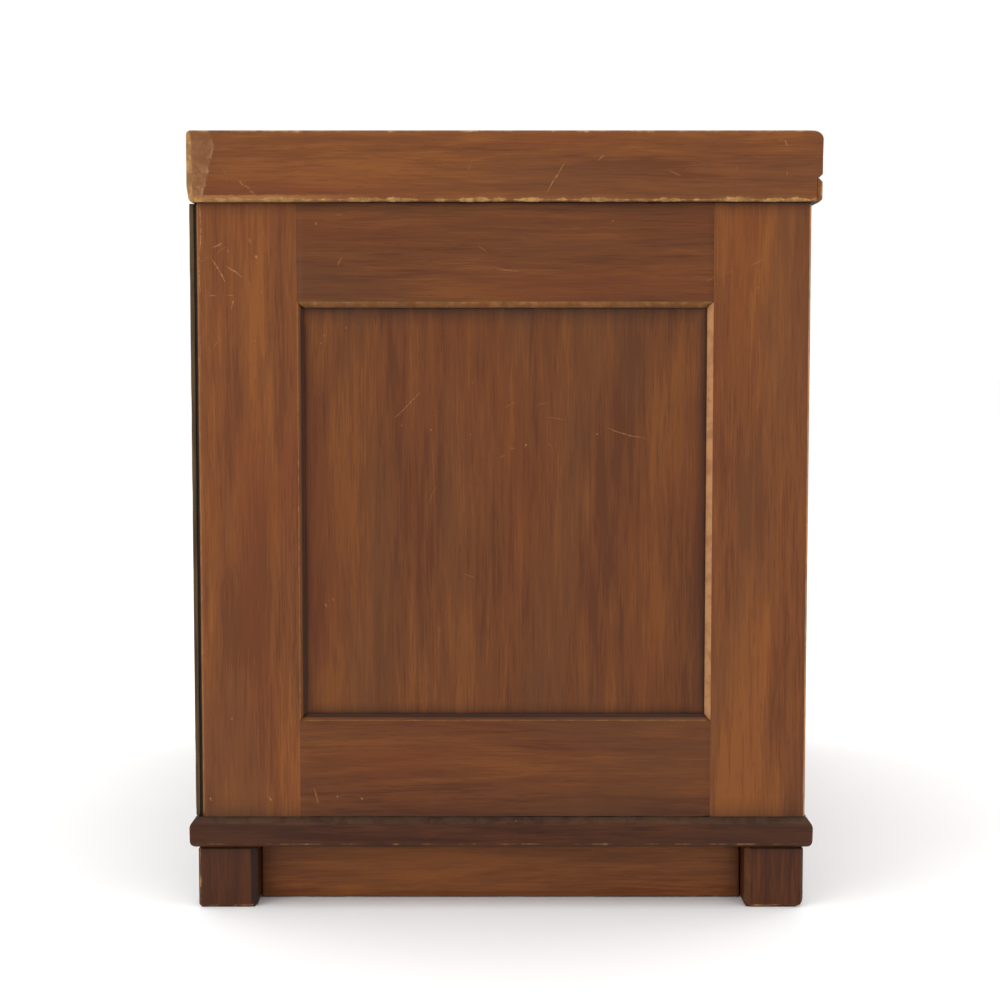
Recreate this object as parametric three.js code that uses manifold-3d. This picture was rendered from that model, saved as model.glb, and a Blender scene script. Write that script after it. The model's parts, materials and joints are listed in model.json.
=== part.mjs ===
// Lift-top wooden ice chest, about 1900: a frame-and-panel case on a moulded base with four feet,
// an insulated zinc liner, a hinged lid, a sliding provision tray and a pull-out drip tray.
//
// Millimetres. +X runs along the length, -Y is the front, +Z is up. The origin is on the floor,
// under the middle of the outline.

import * as THREE from "three";
import { ConvexGeometry } from "three/addons/geometries/ConvexGeometry.js";
import { mergeVertices } from "three/addons/utils/BufferGeometryUtils.js";
import Module from "manifold-3d";

const wasm = await Module();
wasm.setup();

// ---------------------------------------------------------------- driving dimensions

const gap = 0.3; // play left between neighbouring pieces

const caseLength = 838; // X, over the two end frames
const caseDepth = 556; // Y, over the end frames, without the back boards
const footHeight = 57.2;
const baseHeight = 28.1;
const wallHeight = 561.7; // from the base frame to the top of the case
const lidHeight = 64; // from the top of the case to the top of the lid

const frameThickness = 22;
const endStileWidth = 93.2;
const endBackStileWidth = 95.7;
const frontStileWidth = 71; // with the end frame's edge beside it, as wide as an end stile
const topRailWidth = 93.9;
const bottomRailWidth = 94.6;
const mullionWidth = 84;
const openingChamfer = 5.4; // worked on the frame's edges round each panel
const panelThickness = 6.4;
const panelRecess = 9; // from the frame's outer face to the panel's
const grooveWidth = 7;
const grooveDepth = 12;
const panelTongue = 8; // how far a panel reaches past its opening, into the grooves
const tenonReach = 11; // how far a rail or mullion reaches past the opening
const cornerRadius = 3; // on the case's upright corners

const backBoardThickness = 4.2;
const backBoardGap = 2.6; // filled on the real chest by a sheet of lining paper
const backBoardInset = 4; // from the end frame's outer face
const backBoardLap = 7;

const baseProjection = 6.5; // past the case's front and ends
const baseBackProjection = 4.6; // past the back boards
const baseFrameWidth = 80;

const footX = 60;
const footY = 54;
const footChamfer = 5.5; // on the two arrises that show beside the aprons
const footBackInset = 2.4; // from the back boards' outer face
const footFrontInset = 1; // from the case's front
const apronRecess = 32;
const apronThickness = 14;
const apronClearance = 0.8; // above the floor
const dripFrontClearance = 2;

const bottomThickness = 16;
const fillThickness = 44; // insulation in the long and short walls
const fillFloor = 41;
const linerSheet = 1.5;
const drainY = 60;
const drainRadius = 11;
const drainBore = 9.5;

const lidOverhang = 8.5; // past the case's front and ends
const lidBoardThickness = 24;
const lidTopThickness = 14;
const lidTopInset = 10; // how far the top board sits in the rails' rebate
const plugDepth = 23; // how far the lid's pan reaches below the joint
const plugPlay = 4; // between the pan and the liner
const lidJoint = 1; // height of the joint between case and lid

const trayLength = 330; // provision tray, along X
const trayHeight = 82;
const trayWall = 10;
const ledgeDrop = 163; // from the case's top edge down to the ledges' top
const ledgeSize = 13;

const dripLength = 331; // drip tray, along Y
const dripWidth = 340;
const dripDepth = 38;
const dripRimHeight = 46; // of the drip tray's rim above the floor

// ---------------------------------------------------------------- levels and faces

const baseTop = footHeight + baseHeight;
const caseTop = baseTop + wallHeight;
const lidBottom = caseTop + lidJoint;
const lidTop = caseTop + lidHeight;

const endFace = caseLength / 2;
const endInside = endFace - frameThickness;
const frontFace = -caseDepth / 2;
const frontInside = frontFace + frameThickness;
const backFace = caseDepth / 2;
const backInside = backFace - frameThickness;
const backBoardFace = backFace + backBoardGap + backBoardThickness;
const backFootFace = backBoardFace - footBackInset;
const backApronFace = backFootFace - apronRecess;

const cavityX = endInside - fillThickness;
const cavityY = backInside - fillThickness + 4;
const cavityFloor = baseTop + bottomThickness + fillFloor;
const linerX = cavityX - gap - linerSheet; // inner faces of the liner
const linerY = cavityY - gap - linerSheet;
const linerFloor = cavityFloor + gap + linerSheet;

const lidX = endFace + lidOverhang;
const lidFront = frontFace - lidOverhang;
const lidBack = backBoardFace;

// ---------------------------------------------------------------- materials

const finish = (color, roughness, metalness = 0) =>
  new THREE.MeshStandardMaterial({ color, roughness, metalness });

const frameWood = finish(0x7d4e30, 0.5);
const panelWood = finish(0x71452b, 0.5);
const lidWood = finish(0x7d4e30, 0.45);
const baseWood = finish(0x4b3024, 0.5);
const apronWood = finish(0x673d26, 0.5);
const roughWood = finish(0x5b4a37, 0.85);
const slatWood = finish(0xb08a5c, 0.75);
const zinc = finish(0xa7abad, 0.42, 0.9);
const brass = finish(0xa98348, 0.35, 1);
const fillMaterial = finish(0x3c3733, 0.95);
const felt = finish(0x4a463f, 0.95);

// ---------------------------------------------------------------- solids

// A closed geometry as a manifold solid, with only its positions kept.
function solidOf(geometry) {
  const bare = new THREE.BufferGeometry();
  bare.setAttribute("position", geometry.getAttribute("position"));
  if (geometry.index) bare.setIndex(geometry.index);
  const merged = mergeVertices(bare, 1e-4);
  return new wasm.Manifold(
    new wasm.Mesh({
      numProp: 3,
      vertProperties: new Float32Array(merged.attributes.position.array),
      triVerts: new Uint32Array(merged.index.array),
    }),
  );
}

function geometryOf(solid) {
  const { vertProperties, triVerts, numProp } = solid.getMesh();
  const interleaved = new THREE.InterleavedBuffer(new Float32Array(vertProperties), numProp);
  const geometry = new THREE.BufferGeometry();
  geometry.setAttribute("position", new THREE.InterleavedBufferAttribute(interleaved, 3, 0));
  geometry.setIndex(new THREE.BufferAttribute(new Uint32Array(triVerts), 1));
  const flat = geometry.toNonIndexed();
  flat.computeVertexNormals();
  return flat;
}

// Joins the first list of geometries and takes the second away from it.
function combine(joined, removed = []) {
  const body = joined.map(solidOf).reduce((whole, piece) => whole.add(piece));
  return geometryOf(removed.map(solidOf).reduce((left, piece) => left.subtract(piece), body));
}

// The same body as seen in a mirror across X, with each triangle turned round to face outwards.
function mirrored(geometry) {
  const copy = geometry.clone().scale(-1, 1, 1);
  const at = copy.getAttribute("position");
  const corners = [new THREE.Vector3(), new THREE.Vector3()];
  for (let i = 0; i < at.count; i += 3) {
    corners.forEach((corner, k) => corner.fromBufferAttribute(at, i + 1 + k));
    corners.forEach(({ x, y, z }, k) => at.setXYZ(i + 2 - k, x, y, z));
  }
  copy.computeVertexNormals();
  return copy;
}

const middle = ([low, high]) => (low + high) / 2;
const extent = ([low, high]) => high - low;

// A plain block between two limits on each axis.
function block(xs, ys, zs) {
  const box = new THREE.BoxGeometry(extent(xs), extent(ys), extent(zs));
  return box.translate(middle(xs), middle(ys), middle(zs));
}

// A block with every edge cut back by a small chamfer.
function easedBlock(xs, ys, zs, chamfer) {
  const half = [extent(xs) / 2, extent(ys) / 2, extent(zs) / 2];
  const points = [];
  for (const sx of [-1, 1])
    for (const sy of [-1, 1])
      for (const sz of [-1, 1])
        for (const full of [0, 1, 2]) {
          const reach = half.map((h, axis) => (axis === full ? h : h - chamfer));
          points.push(new THREE.Vector3(sx * reach[0], sy * reach[1], sz * reach[2]));
        }
  return new ConvexGeometry(points).translate(middle(xs), middle(ys), middle(zs));
}

const outline = (points) => new THREE.Shape(points.map(([u, v]) => new THREE.Vector2(u, v)));

// A shape drawn in X and Y, pushed up from one height to another.
function upright(shape, [low, high]) {
  const options = { depth: high - low, bevelEnabled: false, curveSegments: 4 };
  return new THREE.ExtrudeGeometry(shape, options).translate(0, 0, low);
}

// A shape drawn in Y and Z, pushed along X from one limit to another.
function alongX(shape, [low, high]) {
  const options = { depth: high - low, bevelEnabled: false, curveSegments: 4 };
  const toXYZ = new THREE.Matrix4().set(0, 0, 1, low, 1, 0, 0, 0, 0, 1, 0, 0, 0, 0, 0, 1);
  return new THREE.ExtrudeGeometry(shape, options).applyMatrix4(toXYZ);
}

// A shape drawn in X and Z, pushed along Y from one limit to another.
function alongY(shape, [low, high]) {
  const options = { depth: high - low, bevelEnabled: false, curveSegments: 4 };
  const toXYZ = new THREE.Matrix4().set(1, 0, 0, 0, 0, 0, -1, high, 0, 1, 0, 0, 0, 0, 0, 1);
  return new THREE.ExtrudeGeometry(shape, options).applyMatrix4(toXYZ);
}

// A round bar along X.
function roundBar(radius, [low, high], y, z, sides = 20) {
  const bar = new THREE.CylinderGeometry(radius, radius, high - low, sides);
  return bar.rotateZ(Math.PI / 2).translate((low + high) / 2, y, z);
}

const icebox = new THREE.Group();

// Adds one named piece. Its geometry is drawn in the group's frame and then centred on the piece.
function add(group, name, material, geometry) {
  geometry.computeBoundingBox();
  const centre = geometry.boundingBox.getCenter(new THREE.Vector3());
  const mesh = new THREE.Mesh(geometry.translate(-centre.x, -centre.y, -centre.z), material);
  mesh.name = name;
  mesh.position.copy(centre);
  group.add(mesh);
  return mesh;
}

// ---------------------------------------------------------------- frame-and-panel walls

// A wall drawn from outside: X to the right, the outer face at -frameThickness, the foot at z = 0.
// Stiles run full height with a groove on their inner edge; rails and mullions have stub tenons.
const wallOuter = -frameThickness;
const tongueFaces = [wallOuter + panelRecess, wallOuter + panelRecess + panelThickness];
const grooveFaces = [
  middle(tongueFaces) - grooveWidth / 2,
  middle(tongueFaces) + grooveWidth / 2,
];
const openingHeights = [bottomRailWidth, wallHeight - topRailWidth];
const panelHeights = [openingHeights[0] - panelTongue, openingHeights[1] + panelTongue];
const shoulderHeights = [openingHeights[0] - openingChamfer, openingHeights[1] + openingChamfer];
const mitreGap = Math.SQRT2 * gap; // the play across a mitre, measured along an axis

// The flared cut that leaves a chamfer with mitred corners round one opening.
function chamferCut([left, right]) {
  const points = [];
  for (const [y, spread] of [
    [wallOuter - 1, openingChamfer + 1],
    [wallOuter + openingChamfer, 0],
  ])
    for (const x of [left - spread, right + spread])
      for (const z of [openingHeights[0] - spread, openingHeights[1] + spread])
        points.push(new THREE.Vector3(x, y, z));
  return new ConvexGeometry(points);
}

// A wedge-ended bite out of a board's face, drawn in X and Z: a rail or mullion fits into it. Its
// mouth is as wide as the opening's edge and its floor lies a chamfer's width deeper.
const bite = (points) => alongY(outline(points), [wallOuter - 1, 1]);

// The right-hand stile, between its inner edge and the wall's end. Beside the rails it is cut back
// by the chamfer's width, so that the chamfers meet in mitres at the corners of the opening.
function stileBoard(inner, end, cornerRound, cut) {
  const backEase = 1;
  const shape = new THREE.Shape();
  shape.moveTo(inner, 0);
  shape.lineTo(inner, grooveFaces[1]);
  shape.lineTo(inner + grooveDepth, grooveFaces[1]);
  shape.lineTo(inner + grooveDepth, grooveFaces[0]);
  shape.lineTo(inner, grooveFaces[0]);
  shape.lineTo(inner, wallOuter);
  shape.lineTo(end - cornerRound, wallOuter);
  shape.absarc(end - cornerRound, wallOuter + cornerRound, cornerRound, -Math.PI / 2, 0, false);
  shape.lineTo(end, -backEase);
  shape.lineTo(end - backEase, 0);
  shape.closePath();
  const shoulder = inner + openingChamfer;
  const besideRails = [[-1, 0], [wallHeight + 1, 1]].map(([outside, i]) =>
    bite([
      [inner - 1, outside],
      [shoulder, outside],
      [shoulder, shoulderHeights[i]],
      [inner, openingHeights[i]],
      [inner - 1, openingHeights[i]],
    ]));
  return combine([upright(shape, [0, wallHeight])], [cut, ...besideRails]);
}

// A rail between the stiles, grooved on the edge that faces the openings, with a bite for each
// mullion.
function railBoard([left, right], isTop, cuts, mullions) {
  const side = isTop ? 1 : 0;
  const edge = openingHeights[side];
  const shoulder = shoulderHeights[side];
  const outward = isTop ? 1 : -1;
  const outside = isTop ? wallHeight : 0;
  const ends = [left - openingChamfer + gap, right + openingChamfer - gap];
  const mitreFoot = shoulder - outward * (mitreGap - gap);
  const face = outline([
    [ends[0], outside],
    [ends[1], outside],
    [ends[1], mitreFoot],
    [right - mitreGap, edge],
    [left + mitreGap, edge],
    [ends[0], mitreFoot],
  ]);
  const board = alongY(face, [wallOuter, 0]);

  const reach = [left - tenonReach, right + tenonReach];
  const sorted = (pair) => [...pair].sort((a, b) => a - b);
  const tenons = block(reach, tongueFaces,
    sorted([edge + outward * (grooveDepth + gap), outside]));
  const groove = block([reach[0] - 1, reach[1] + 1], grooveFaces,
    sorted([edge - outward, edge + outward * grooveDepth]));
  const bites = mullions.map(([from, to]) =>
    bite([
      [from, edge],
      [from + openingChamfer, shoulder],
      [to - openingChamfer, shoulder],
      [to, edge],
      [to, edge - outward],
      [from, edge - outward],
    ]));
  return combine([board, tenons], [groove, ...cuts, ...bites]);
}

// A short upright between two openings, grooved on both edges, with wedge-shaped ends.
function mullionBoard([left, right], cuts) {
  const face = outline([
    [left, openingHeights[0] + mitreGap],
    [left + openingChamfer - mitreGap + gap, shoulderHeights[0] + gap],
    [right - openingChamfer + mitreGap - gap, shoulderHeights[0] + gap],
    [right, openingHeights[0] + mitreGap],
    [right, openingHeights[1] - mitreGap],
    [right - openingChamfer + mitreGap - gap, shoulderHeights[1] - gap],
    [left + openingChamfer - mitreGap + gap, shoulderHeights[1] - gap],
    [left, openingHeights[1] - mitreGap],
  ]);
  const tenon = block([left + grooveDepth + gap, right - grooveDepth - gap], tongueFaces,
    [openingHeights[0] - tenonReach, openingHeights[1] + tenonReach]);
  const grooves = [
    [left - 1, left + grooveDepth],
    [right - grooveDepth, right + 1],
  ].map((xs) => block(xs, grooveFaces, [-1, wallHeight]));
  return combine([alongY(face, [wallOuter, 0]), tenon], [...grooves, ...cuts]);
}

function panelledWall({ prefix, width, stileWidths, cornerRound, sides, panelNames }) {
  const wall = new THREE.Group();
  const inner = [-width / 2 + stileWidths[0], width / 2 - stileWidths[1]];
  const pitch = (extent(inner) + mullionWidth) / panelNames.length;
  const openings = panelNames.map((_, i) => {
    const left = inner[0] + i * pitch;
    return [left, left + pitch - mullionWidth];
  });
  const cuts = openings.map(chamferCut);

  // The left stile is drawn as a right-hand one, with its cut on the same side, and mirrored.
  const leftCut = chamferCut([-openings[0][1], -openings[0][0]]);
  const leftStile = mirrored(stileBoard(-inner[0], width / 2, cornerRound, leftCut));
  const rightStile = stileBoard(inner[1], width / 2, cornerRound, cuts[cuts.length - 1]);
  add(wall, `${prefix}_stile_${sides[0]}`, frameWood, leftStile);
  add(wall, `${prefix}_stile_${sides[1]}`, frameWood, rightStile);
  const mullions = openings.slice(1).map((opening, i) => [openings[i][1], opening[0]]);
  add(wall, `${prefix}_rail_bottom`, frameWood, railBoard(inner, false, cuts, mullions));
  add(wall, `${prefix}_rail_top`, frameWood, railBoard(inner, true, cuts, mullions));
  for (const sides of mullions)
    add(wall, `${prefix}_mullion`, frameWood, mullionBoard(sides, cuts));
  openings.forEach(([left, right], i) => {
    const panel = block([left - panelTongue, right + panelTongue], tongueFaces, panelHeights);
    add(wall, panelNames[i], panelWood, panel);
  });
  return wall;
}

function walls() {
  const end = { width: caseDepth, cornerRound: cornerRadius };
  const leftEnd = panelledWall({
    ...end,
    prefix: "end_left",
    stileWidths: [endBackStileWidth, endStileWidth],
    sides: ["back", "front"],
    panelNames: ["end_left_panel"],
  });
  leftEnd.rotation.z = -Math.PI / 2;
  leftEnd.position.set(-endInside, 0, baseTop);

  const rightEnd = panelledWall({
    ...end,
    prefix: "end_right",
    stileWidths: [endStileWidth, endBackStileWidth],
    sides: ["front", "back"],
    panelNames: ["end_right_panel"],
  });
  rightEnd.rotation.z = Math.PI / 2;
  rightEnd.position.set(endInside, 0, baseTop);

  const front = panelledWall({
    prefix: "front",
    width: 2 * (endInside - gap),
    stileWidths: [frontStileWidth, frontStileWidth],
    cornerRound: 1,
    sides: ["left", "right"],
    panelNames: ["front_panel_left", "front_panel_right"],
  });
  front.position.set(0, frontInside, baseTop);
  icebox.add(leftEnd, rightEnd, front);
}

// Two plain rails between the end frames, and three lapped upright boards nailed over them.
function back() {
  const railX = [-endInside + gap, endInside - gap];
  const lowRail = 60;
  const highRail = 84;
  for (const [name, low, high] of [
    ["back_rail_bottom", baseTop, baseTop + lowRail],
    ["back_rail_top", caseTop - highRail, caseTop],
  ])
    add(icebox, name, roughWood, easedBlock(railX, [backInside, backFace], [low, high], 0.8));

  const boards = 3;
  const reach = endFace - backBoardInset;
  const pitch = (2 * reach) / boards;
  const inner = [backFace + backBoardGap, backFace + backBoardGap + backBoardThickness / 2];
  const outer = [inner[1], backBoardFace];
  const heights = [baseTop, caseTop - gap];
  for (let i = 0; i < boards; i++) {
    const left = -reach + i * pitch + gap / 2;
    const right = left + pitch - gap;
    // The inner half of each board reaches under its right-hand neighbour's outer half.
    const innerLeft = i > 0 ? left + backBoardLap : left;
    const innerRight = i < boards - 1 ? right + backBoardLap : right;
    const board = combine([
      block([innerLeft, innerRight], [inner[0], inner[1] - gap / 2], heights),
      block([left, right], [outer[0] + gap / 2, outer[1]], heights),
      block([innerLeft, right], [inner[0], outer[1]], heights),
    ]);
    add(icebox, `back_board_${i + 1}`, roughWood, board);
  }
}

// ---------------------------------------------------------------- base

// One member of a mitred rectangular frame. The profile is drawn with Y inward from the outer face.
function mitredMember(profile, length, width) {
  const bar = alongX(profile, [-length / 2, length / 2]);
  const half = length / 2 - gap / 2;
  const plan = outline([
    [-half, 0],
    [-half + width + 1, width + 1],
    [half - width - 1, width + 1],
    [half, 0],
    [half + 1, -1],
    [-half - 1, -1],
  ]);
  return geometryOf(solidOf(bar).intersect(solidOf(upright(plan, [-1, lidTop]))));
}

// Four mitred boards round the base. Their moulded edge is a nosing with a broad chamfer above.
function baseFrame() {
  const low = footHeight + gap;
  const high = baseTop - gap;
  const ledge = 6.5; // how far the chamfer and the nosing's upper curve reach in
  const arris = [1.9, high - 4.6]; // where the chamfer meets the nosing
  const upperCurve = 10; // below the top, where the nosing turns upright
  const lowerCurve = 7; // above the underside
  const lowerDepth = 4.8;
  const profile = new THREE.Shape();
  profile.moveTo(baseFrameWidth, low);
  profile.lineTo(baseFrameWidth, high);
  profile.lineTo(ledge, high);
  profile.lineTo(...arris);
  profile.quadraticCurveTo(0, high - 6.8, 0, high - upperCurve);
  profile.lineTo(0, low + lowerCurve);
  profile.quadraticCurveTo(0.4, low + 1.3, lowerDepth, low);
  profile.closePath();

  const xReach = endFace + baseProjection;
  const front = frontFace - baseProjection;
  const back = backBoardFace + baseBackProjection;
  for (const [side, length, turn, x, y] of [
    ["front", 2 * xReach, 0, 0, front],
    ["back", 2 * xReach, Math.PI, 0, back],
    ["left", back - front, -Math.PI / 2, -xReach, (front + back) / 2],
    ["right", back - front, Math.PI / 2, xReach, (front + back) / 2],
  ]) {
    const holder = new THREE.Group();
    holder.rotation.z = turn;
    holder.position.set(x, y, 0);
    add(holder, `base_frame_${side}`, baseWood, mitredMember(profile, length, baseFrameWidth));
    icebox.add(holder);
  }
}

// A foot: an eased post with a broad chamfer on the arris between its end face and the apron,
// and on the one between its long face and the apron.
function footPost(xs, ys, [outX, outY]) {
  const ease = 2.5;
  const far = footChamfer + 1;
  const corner = ([x, towardsX], [y, towardsY]) =>
    upright(outline([
      [x + towardsX, y - towardsY * far],
      [x - towardsX * far, y + towardsY],
      [x + towardsX, y + towardsY],
    ]), [-1, footHeight + 1]);
  const outer = (pair, out) => [out < 0 ? pair[0] : pair[1], out];
  const inner = (pair, out) => [out < 0 ? pair[1] : pair[0], -out];
  return combine(
    [easedBlock(xs, ys, [0, footHeight], ease)],
    [corner(outer(xs, outX), inner(ys, outY)), corner(inner(xs, outX), outer(ys, outY))],
  );
}

function feetAndAprons() {
  const footFront = frontFace + footFrontInset;
  const feetY = {
    front: [footFront, footFront + footY],
    back: [backFootFace - footY, backFootFace],
  };
  const feetX = { left: [-endFace, -endFace + footX], right: [endFace - footX, endFace] };
  const outward = { front: -1, back: 1, left: -1, right: 1 };
  for (const [end, ys] of Object.entries(feetY))
    for (const [side, xs] of Object.entries(feetX))
      add(icebox, `foot_${end}_${side}`, baseWood,
        footPost(xs, ys, [outward[side], outward[end]]));

  const apronZ = [apronClearance, footHeight];
  const outside = endFace - apronRecess;
  const between = [feetY.front[1] + gap, feetY.back[0] - gap];
  add(icebox, "apron_left", apronWood,
    easedBlock([-outside, -outside + apronThickness], between, apronZ, 1));
  add(icebox, "apron_right", apronWood,
    easedBlock([outside - apronThickness, outside], between, apronZ, 1));
  const acrossBack = [feetX.left[1] + gap, feetX.right[0] - gap];
  add(icebox, "apron_back", apronWood,
    easedBlock(acrossBack, [backApronFace - apronThickness, backApronFace], apronZ, 1));
}

// ---------------------------------------------------------------- inside the case

function disc(radius, [low, high], x, y, sides = 24) {
  const bar = new THREE.CylinderGeometry(radius, radius, high - low, sides);
  return bar.rotateX(Math.PI / 2).translate(x, y, (low + high) / 2);
}

function insulationAndLiner() {
  const bottom = [baseTop + gap, baseTop + bottomThickness - gap];
  const holeRadius = drainRadius + 1.5;
  const acrossHole = [-holeRadius, holeRadius];
  const alongHole = [drainY - holeRadius, drainY + holeRadius];
  add(icebox, "case_bottom", roughWood, combine(
    [block([-endInside + gap, endInside - gap], [frontInside + gap, backInside - gap], bottom)],
    [disc(holeRadius, [bottom[0] - 1, bottom[1] + 1], 0, drainY)],
  ));

  const fillX = [-endInside + 2 * gap, endInside - 2 * gap];
  const fillY = [frontInside + 2 * gap, backInside - 2 * gap];
  const fillTop = caseTop - 2.5;
  add(icebox, "insulation_fill", fillMaterial, combine(
    [block(fillX, fillY, [baseTop + bottomThickness, fillTop])],
    [
      block([-cavityX, cavityX], [-cavityY, cavityY], [cavityFloor, fillTop + 1]),
      block(acrossHole, alongHole, [baseTop, cavityFloor + 1]),
    ],
  ));

  const outerX = cavityX - gap;
  const outerY = cavityY - gap;
  const flange = [fillTop + gap, fillTop + gap + linerSheet];
  add(icebox, "liner", zinc, combine(
    [
      block([-outerX, outerX], [-outerY, outerY], [cavityFloor + gap, flange[1]]),
      block(fillX, fillY, flange),
    ],
    [
      block([-linerX, linerX], [-linerY, linerY], [linerFloor, caseTop + 1]),
      disc(drainRadius + gap, [cavityFloor, linerFloor + 1], 0, drainY),
    ],
  ));
}

// A flanged tube that carries melt water from the liner's floor down to the drip tray.
function drain() {
  const mouth = footHeight - 3;
  const flangeRadius = 20;
  const flange = [linerFloor + gap, linerFloor + gap + 1.5];
  const profile = outline([
    [drainBore, mouth],
    [drainRadius, mouth],
    [drainRadius, flange[0]],
    [flangeRadius, flange[0]],
    [flangeRadius, flange[1]],
    [drainBore, flange[1]],
    [drainBore, mouth],
  ]);
  const tube = new THREE.LatheGeometry(profile.getPoints(), 24).rotateX(Math.PI / 2);
  add(icebox, "drain_tube", brass, geometryOf(solidOf(tube)).translate(0, drainY, 0));
}

// A slatted rack that keeps the ice off the liner's floor.
function iceRack() {
  const floor = linerFloor + gap;
  const bearerHeight = 16;
  const slatHeight = 12;
  const slats = 8;
  const slatWidth = 34;
  const halfX = linerX - 9;
  const halfY = linerY - 8;
  const bearerHalf = 10;
  const pieces = [];
  for (const x of [-300, -110, 110, 300])
    pieces.push(block([x - bearerHalf, x + bearerHalf], [-halfY, halfY],
      [floor, floor + bearerHeight]));
  const pitch = (2 * halfY - slatWidth) / (slats - 1);
  for (let i = 0; i < slats; i++) {
    const low = -halfY + i * pitch;
    const heights = [floor + bearerHeight - 1, floor + bearerHeight + slatHeight];
    pieces.push(block([-halfX, halfX], [low, low + slatWidth], heights));
  }
  add(icebox, "ice_rack", slatWood, combine(pieces));
}

// Two ledges on the long walls, and the slatted provision tray that slides on them.
function provisionTray() {
  const ledgeTop = caseTop - ledgeDrop;
  const ledgeX = [-linerX + 5, linerX - 5];
  const ledgeZ = [ledgeTop - ledgeSize, ledgeTop];
  const inner = linerY - gap - ledgeSize;
  add(icebox, "tray_ledge_front", slatWood,
    easedBlock(ledgeX, [-linerY + gap, -inner], ledgeZ, 1));
  add(icebox, "tray_ledge_back", slatWood,
    easedBlock(ledgeX, [inner, linerY - gap], ledgeZ, 1));

  const right = linerX - 6;
  const xs = [right - trayLength, right];
  const reach = linerY - 5;
  const low = ledgeTop + gap;
  const floor = 10;
  const pieces = [
    block(xs, [-reach, -reach + trayWall], [low, low + trayHeight]),
    block(xs, [reach - trayWall, reach], [low, low + trayHeight]),
    block([xs[0], xs[0] + trayWall], [-reach, reach], [low, low + trayHeight]),
    block([xs[1] - trayWall, xs[1]], [-reach, reach], [low, low + trayHeight]),
  ];
  const slats = 6;
  const slatWidth = 38;
  const pitch = (trayLength - slatWidth) / (slats - 1);
  for (let i = 0; i < slats; i++) {
    const left = xs[0] + i * pitch;
    pieces.push(block([left, left + slatWidth], [-reach, reach], [low, low + floor]));
  }
  add(icebox, "provision_tray", slatWood, combine(pieces));
}

// ---------------------------------------------------------------- drip tray

// A sheet pan hung by its rim between two grooved runners, with the front apron as its drawer front.
function dripTray() {
  const front = frontFace + apronRecess;
  const boardBack = front + apronThickness;
  const halfWidth = dripWidth / 2;
  const pan = [boardBack + gap, boardBack + gap + dripLength];
  const rim = [dripRimHeight - linerSheet, dripRimHeight];
  const bottom = dripRimHeight - dripDepth;
  const rimReach = 8;
  add(icebox, "drip_tray", zinc, combine(
    [
      block([-halfWidth, halfWidth], pan, [bottom, dripRimHeight]),
      block([-halfWidth - rimReach, halfWidth + rimReach], [pan[0], pan[1] + rimReach], rim),
    ],
    [
      block(
        [-halfWidth + linerSheet, halfWidth - linerSheet],
        [pan[0] + linerSheet, pan[1] - linerSheet],
        [bottom + linerSheet, dripRimHeight + 1],
      ),
    ],
  ));

  const boardX = endFace - footX - 1;
  add(icebox, "drip_tray_front", apronWood,
    easedBlock([-boardX, boardX], [front, boardBack], [dripFrontClearance, footHeight - 1], 1));

  const knob = new THREE.Shape();
  const knobLength = 19;
  knob.moveTo(0, 0);
  knob.lineTo(7, 0);
  knob.lineTo(7, 2);
  knob.quadraticCurveTo(3.4, 3, 3.6, 8);
  knob.quadraticCurveTo(9.6, 9.5, 9, 14);
  knob.quadraticCurveTo(7, knobLength, 0, knobLength);
  const turned = new THREE.LatheGeometry(knob.getPoints(5), 20);
  add(icebox, "drip_tray_knob", brass,
    geometryOf(solidOf(turned))
      .rotateX(Math.PI)
      .translate(0, front - gap, (dripFrontClearance + footHeight) / 2));

  const runnerX = [halfWidth + 2, halfWidth + 20];
  const runnerY = [boardBack + 2, backApronFace - apronThickness - gap];
  const runnerZ = [dripRimHeight - 8, footHeight];
  for (const [name, side] of [["left", -1], ["right", 1]]) {
    const across = ([near, far]) => (side < 0 ? [-far, -near] : [near, far]);
    const slot = block(
      across([runnerX[0] - 1, halfWidth + rimReach + 2]),
      [runnerY[0] - 1, runnerY[1] + 1],
      [rim[0] - 1, rim[1] + 1.5],
    );
    const bar = block(across(runnerX), runnerY, runnerZ);
    add(icebox, `drip_runner_${name}`, roughWood, combine([bar], [slot]));
  }
}

// ---------------------------------------------------------------- lid

// The lid's cross-section across its depth: a wide round-over and a finger groove at the front.
function lidSection(groove) {
  const roundWidth = 11;
  const roundHeight = 8;
  const backRound = 4.5;
  const lip = 3.5;
  const lapInset = 0.5; // from the lid's front face, below the groove
  const frontEase = 2.2;
  const backEase = [1.6, 2.5]; // depth and height of the worn lower back arris
  const backTaper = 13; // above the underside
  const shape = new THREE.Shape();
  shape.moveTo(lidBack - backRound, lidTop);
  shape.lineTo(lidFront + roundWidth, lidTop);
  shape.absellipse(lidFront + roundWidth, lidTop - roundHeight, roundWidth, roundHeight,
    Math.PI / 2, Math.PI, false);
  shape.lineTo(lidFront + 0.6, groove + lip);
  shape.lineTo(lidFront + 4, groove);
  shape.lineTo(lidFront + lapInset, groove - lip);
  shape.lineTo(lidFront + lapInset, lidBottom + frontEase);
  shape.lineTo(lidFront + lapInset + frontEase, lidBottom);
  shape.lineTo(lidBack - 2 * backEase[0], lidBottom);
  shape.lineTo(lidBack - backEase[0], lidBottom + backEase[1]);
  shape.lineTo(lidBack, lidBottom + backTaper);
  shape.lineTo(lidBack, lidTop - backRound);
  shape.absarc(lidBack - backRound, lidTop - backRound, backRound, 0, Math.PI / 2, false);
  return shape;
}

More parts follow.
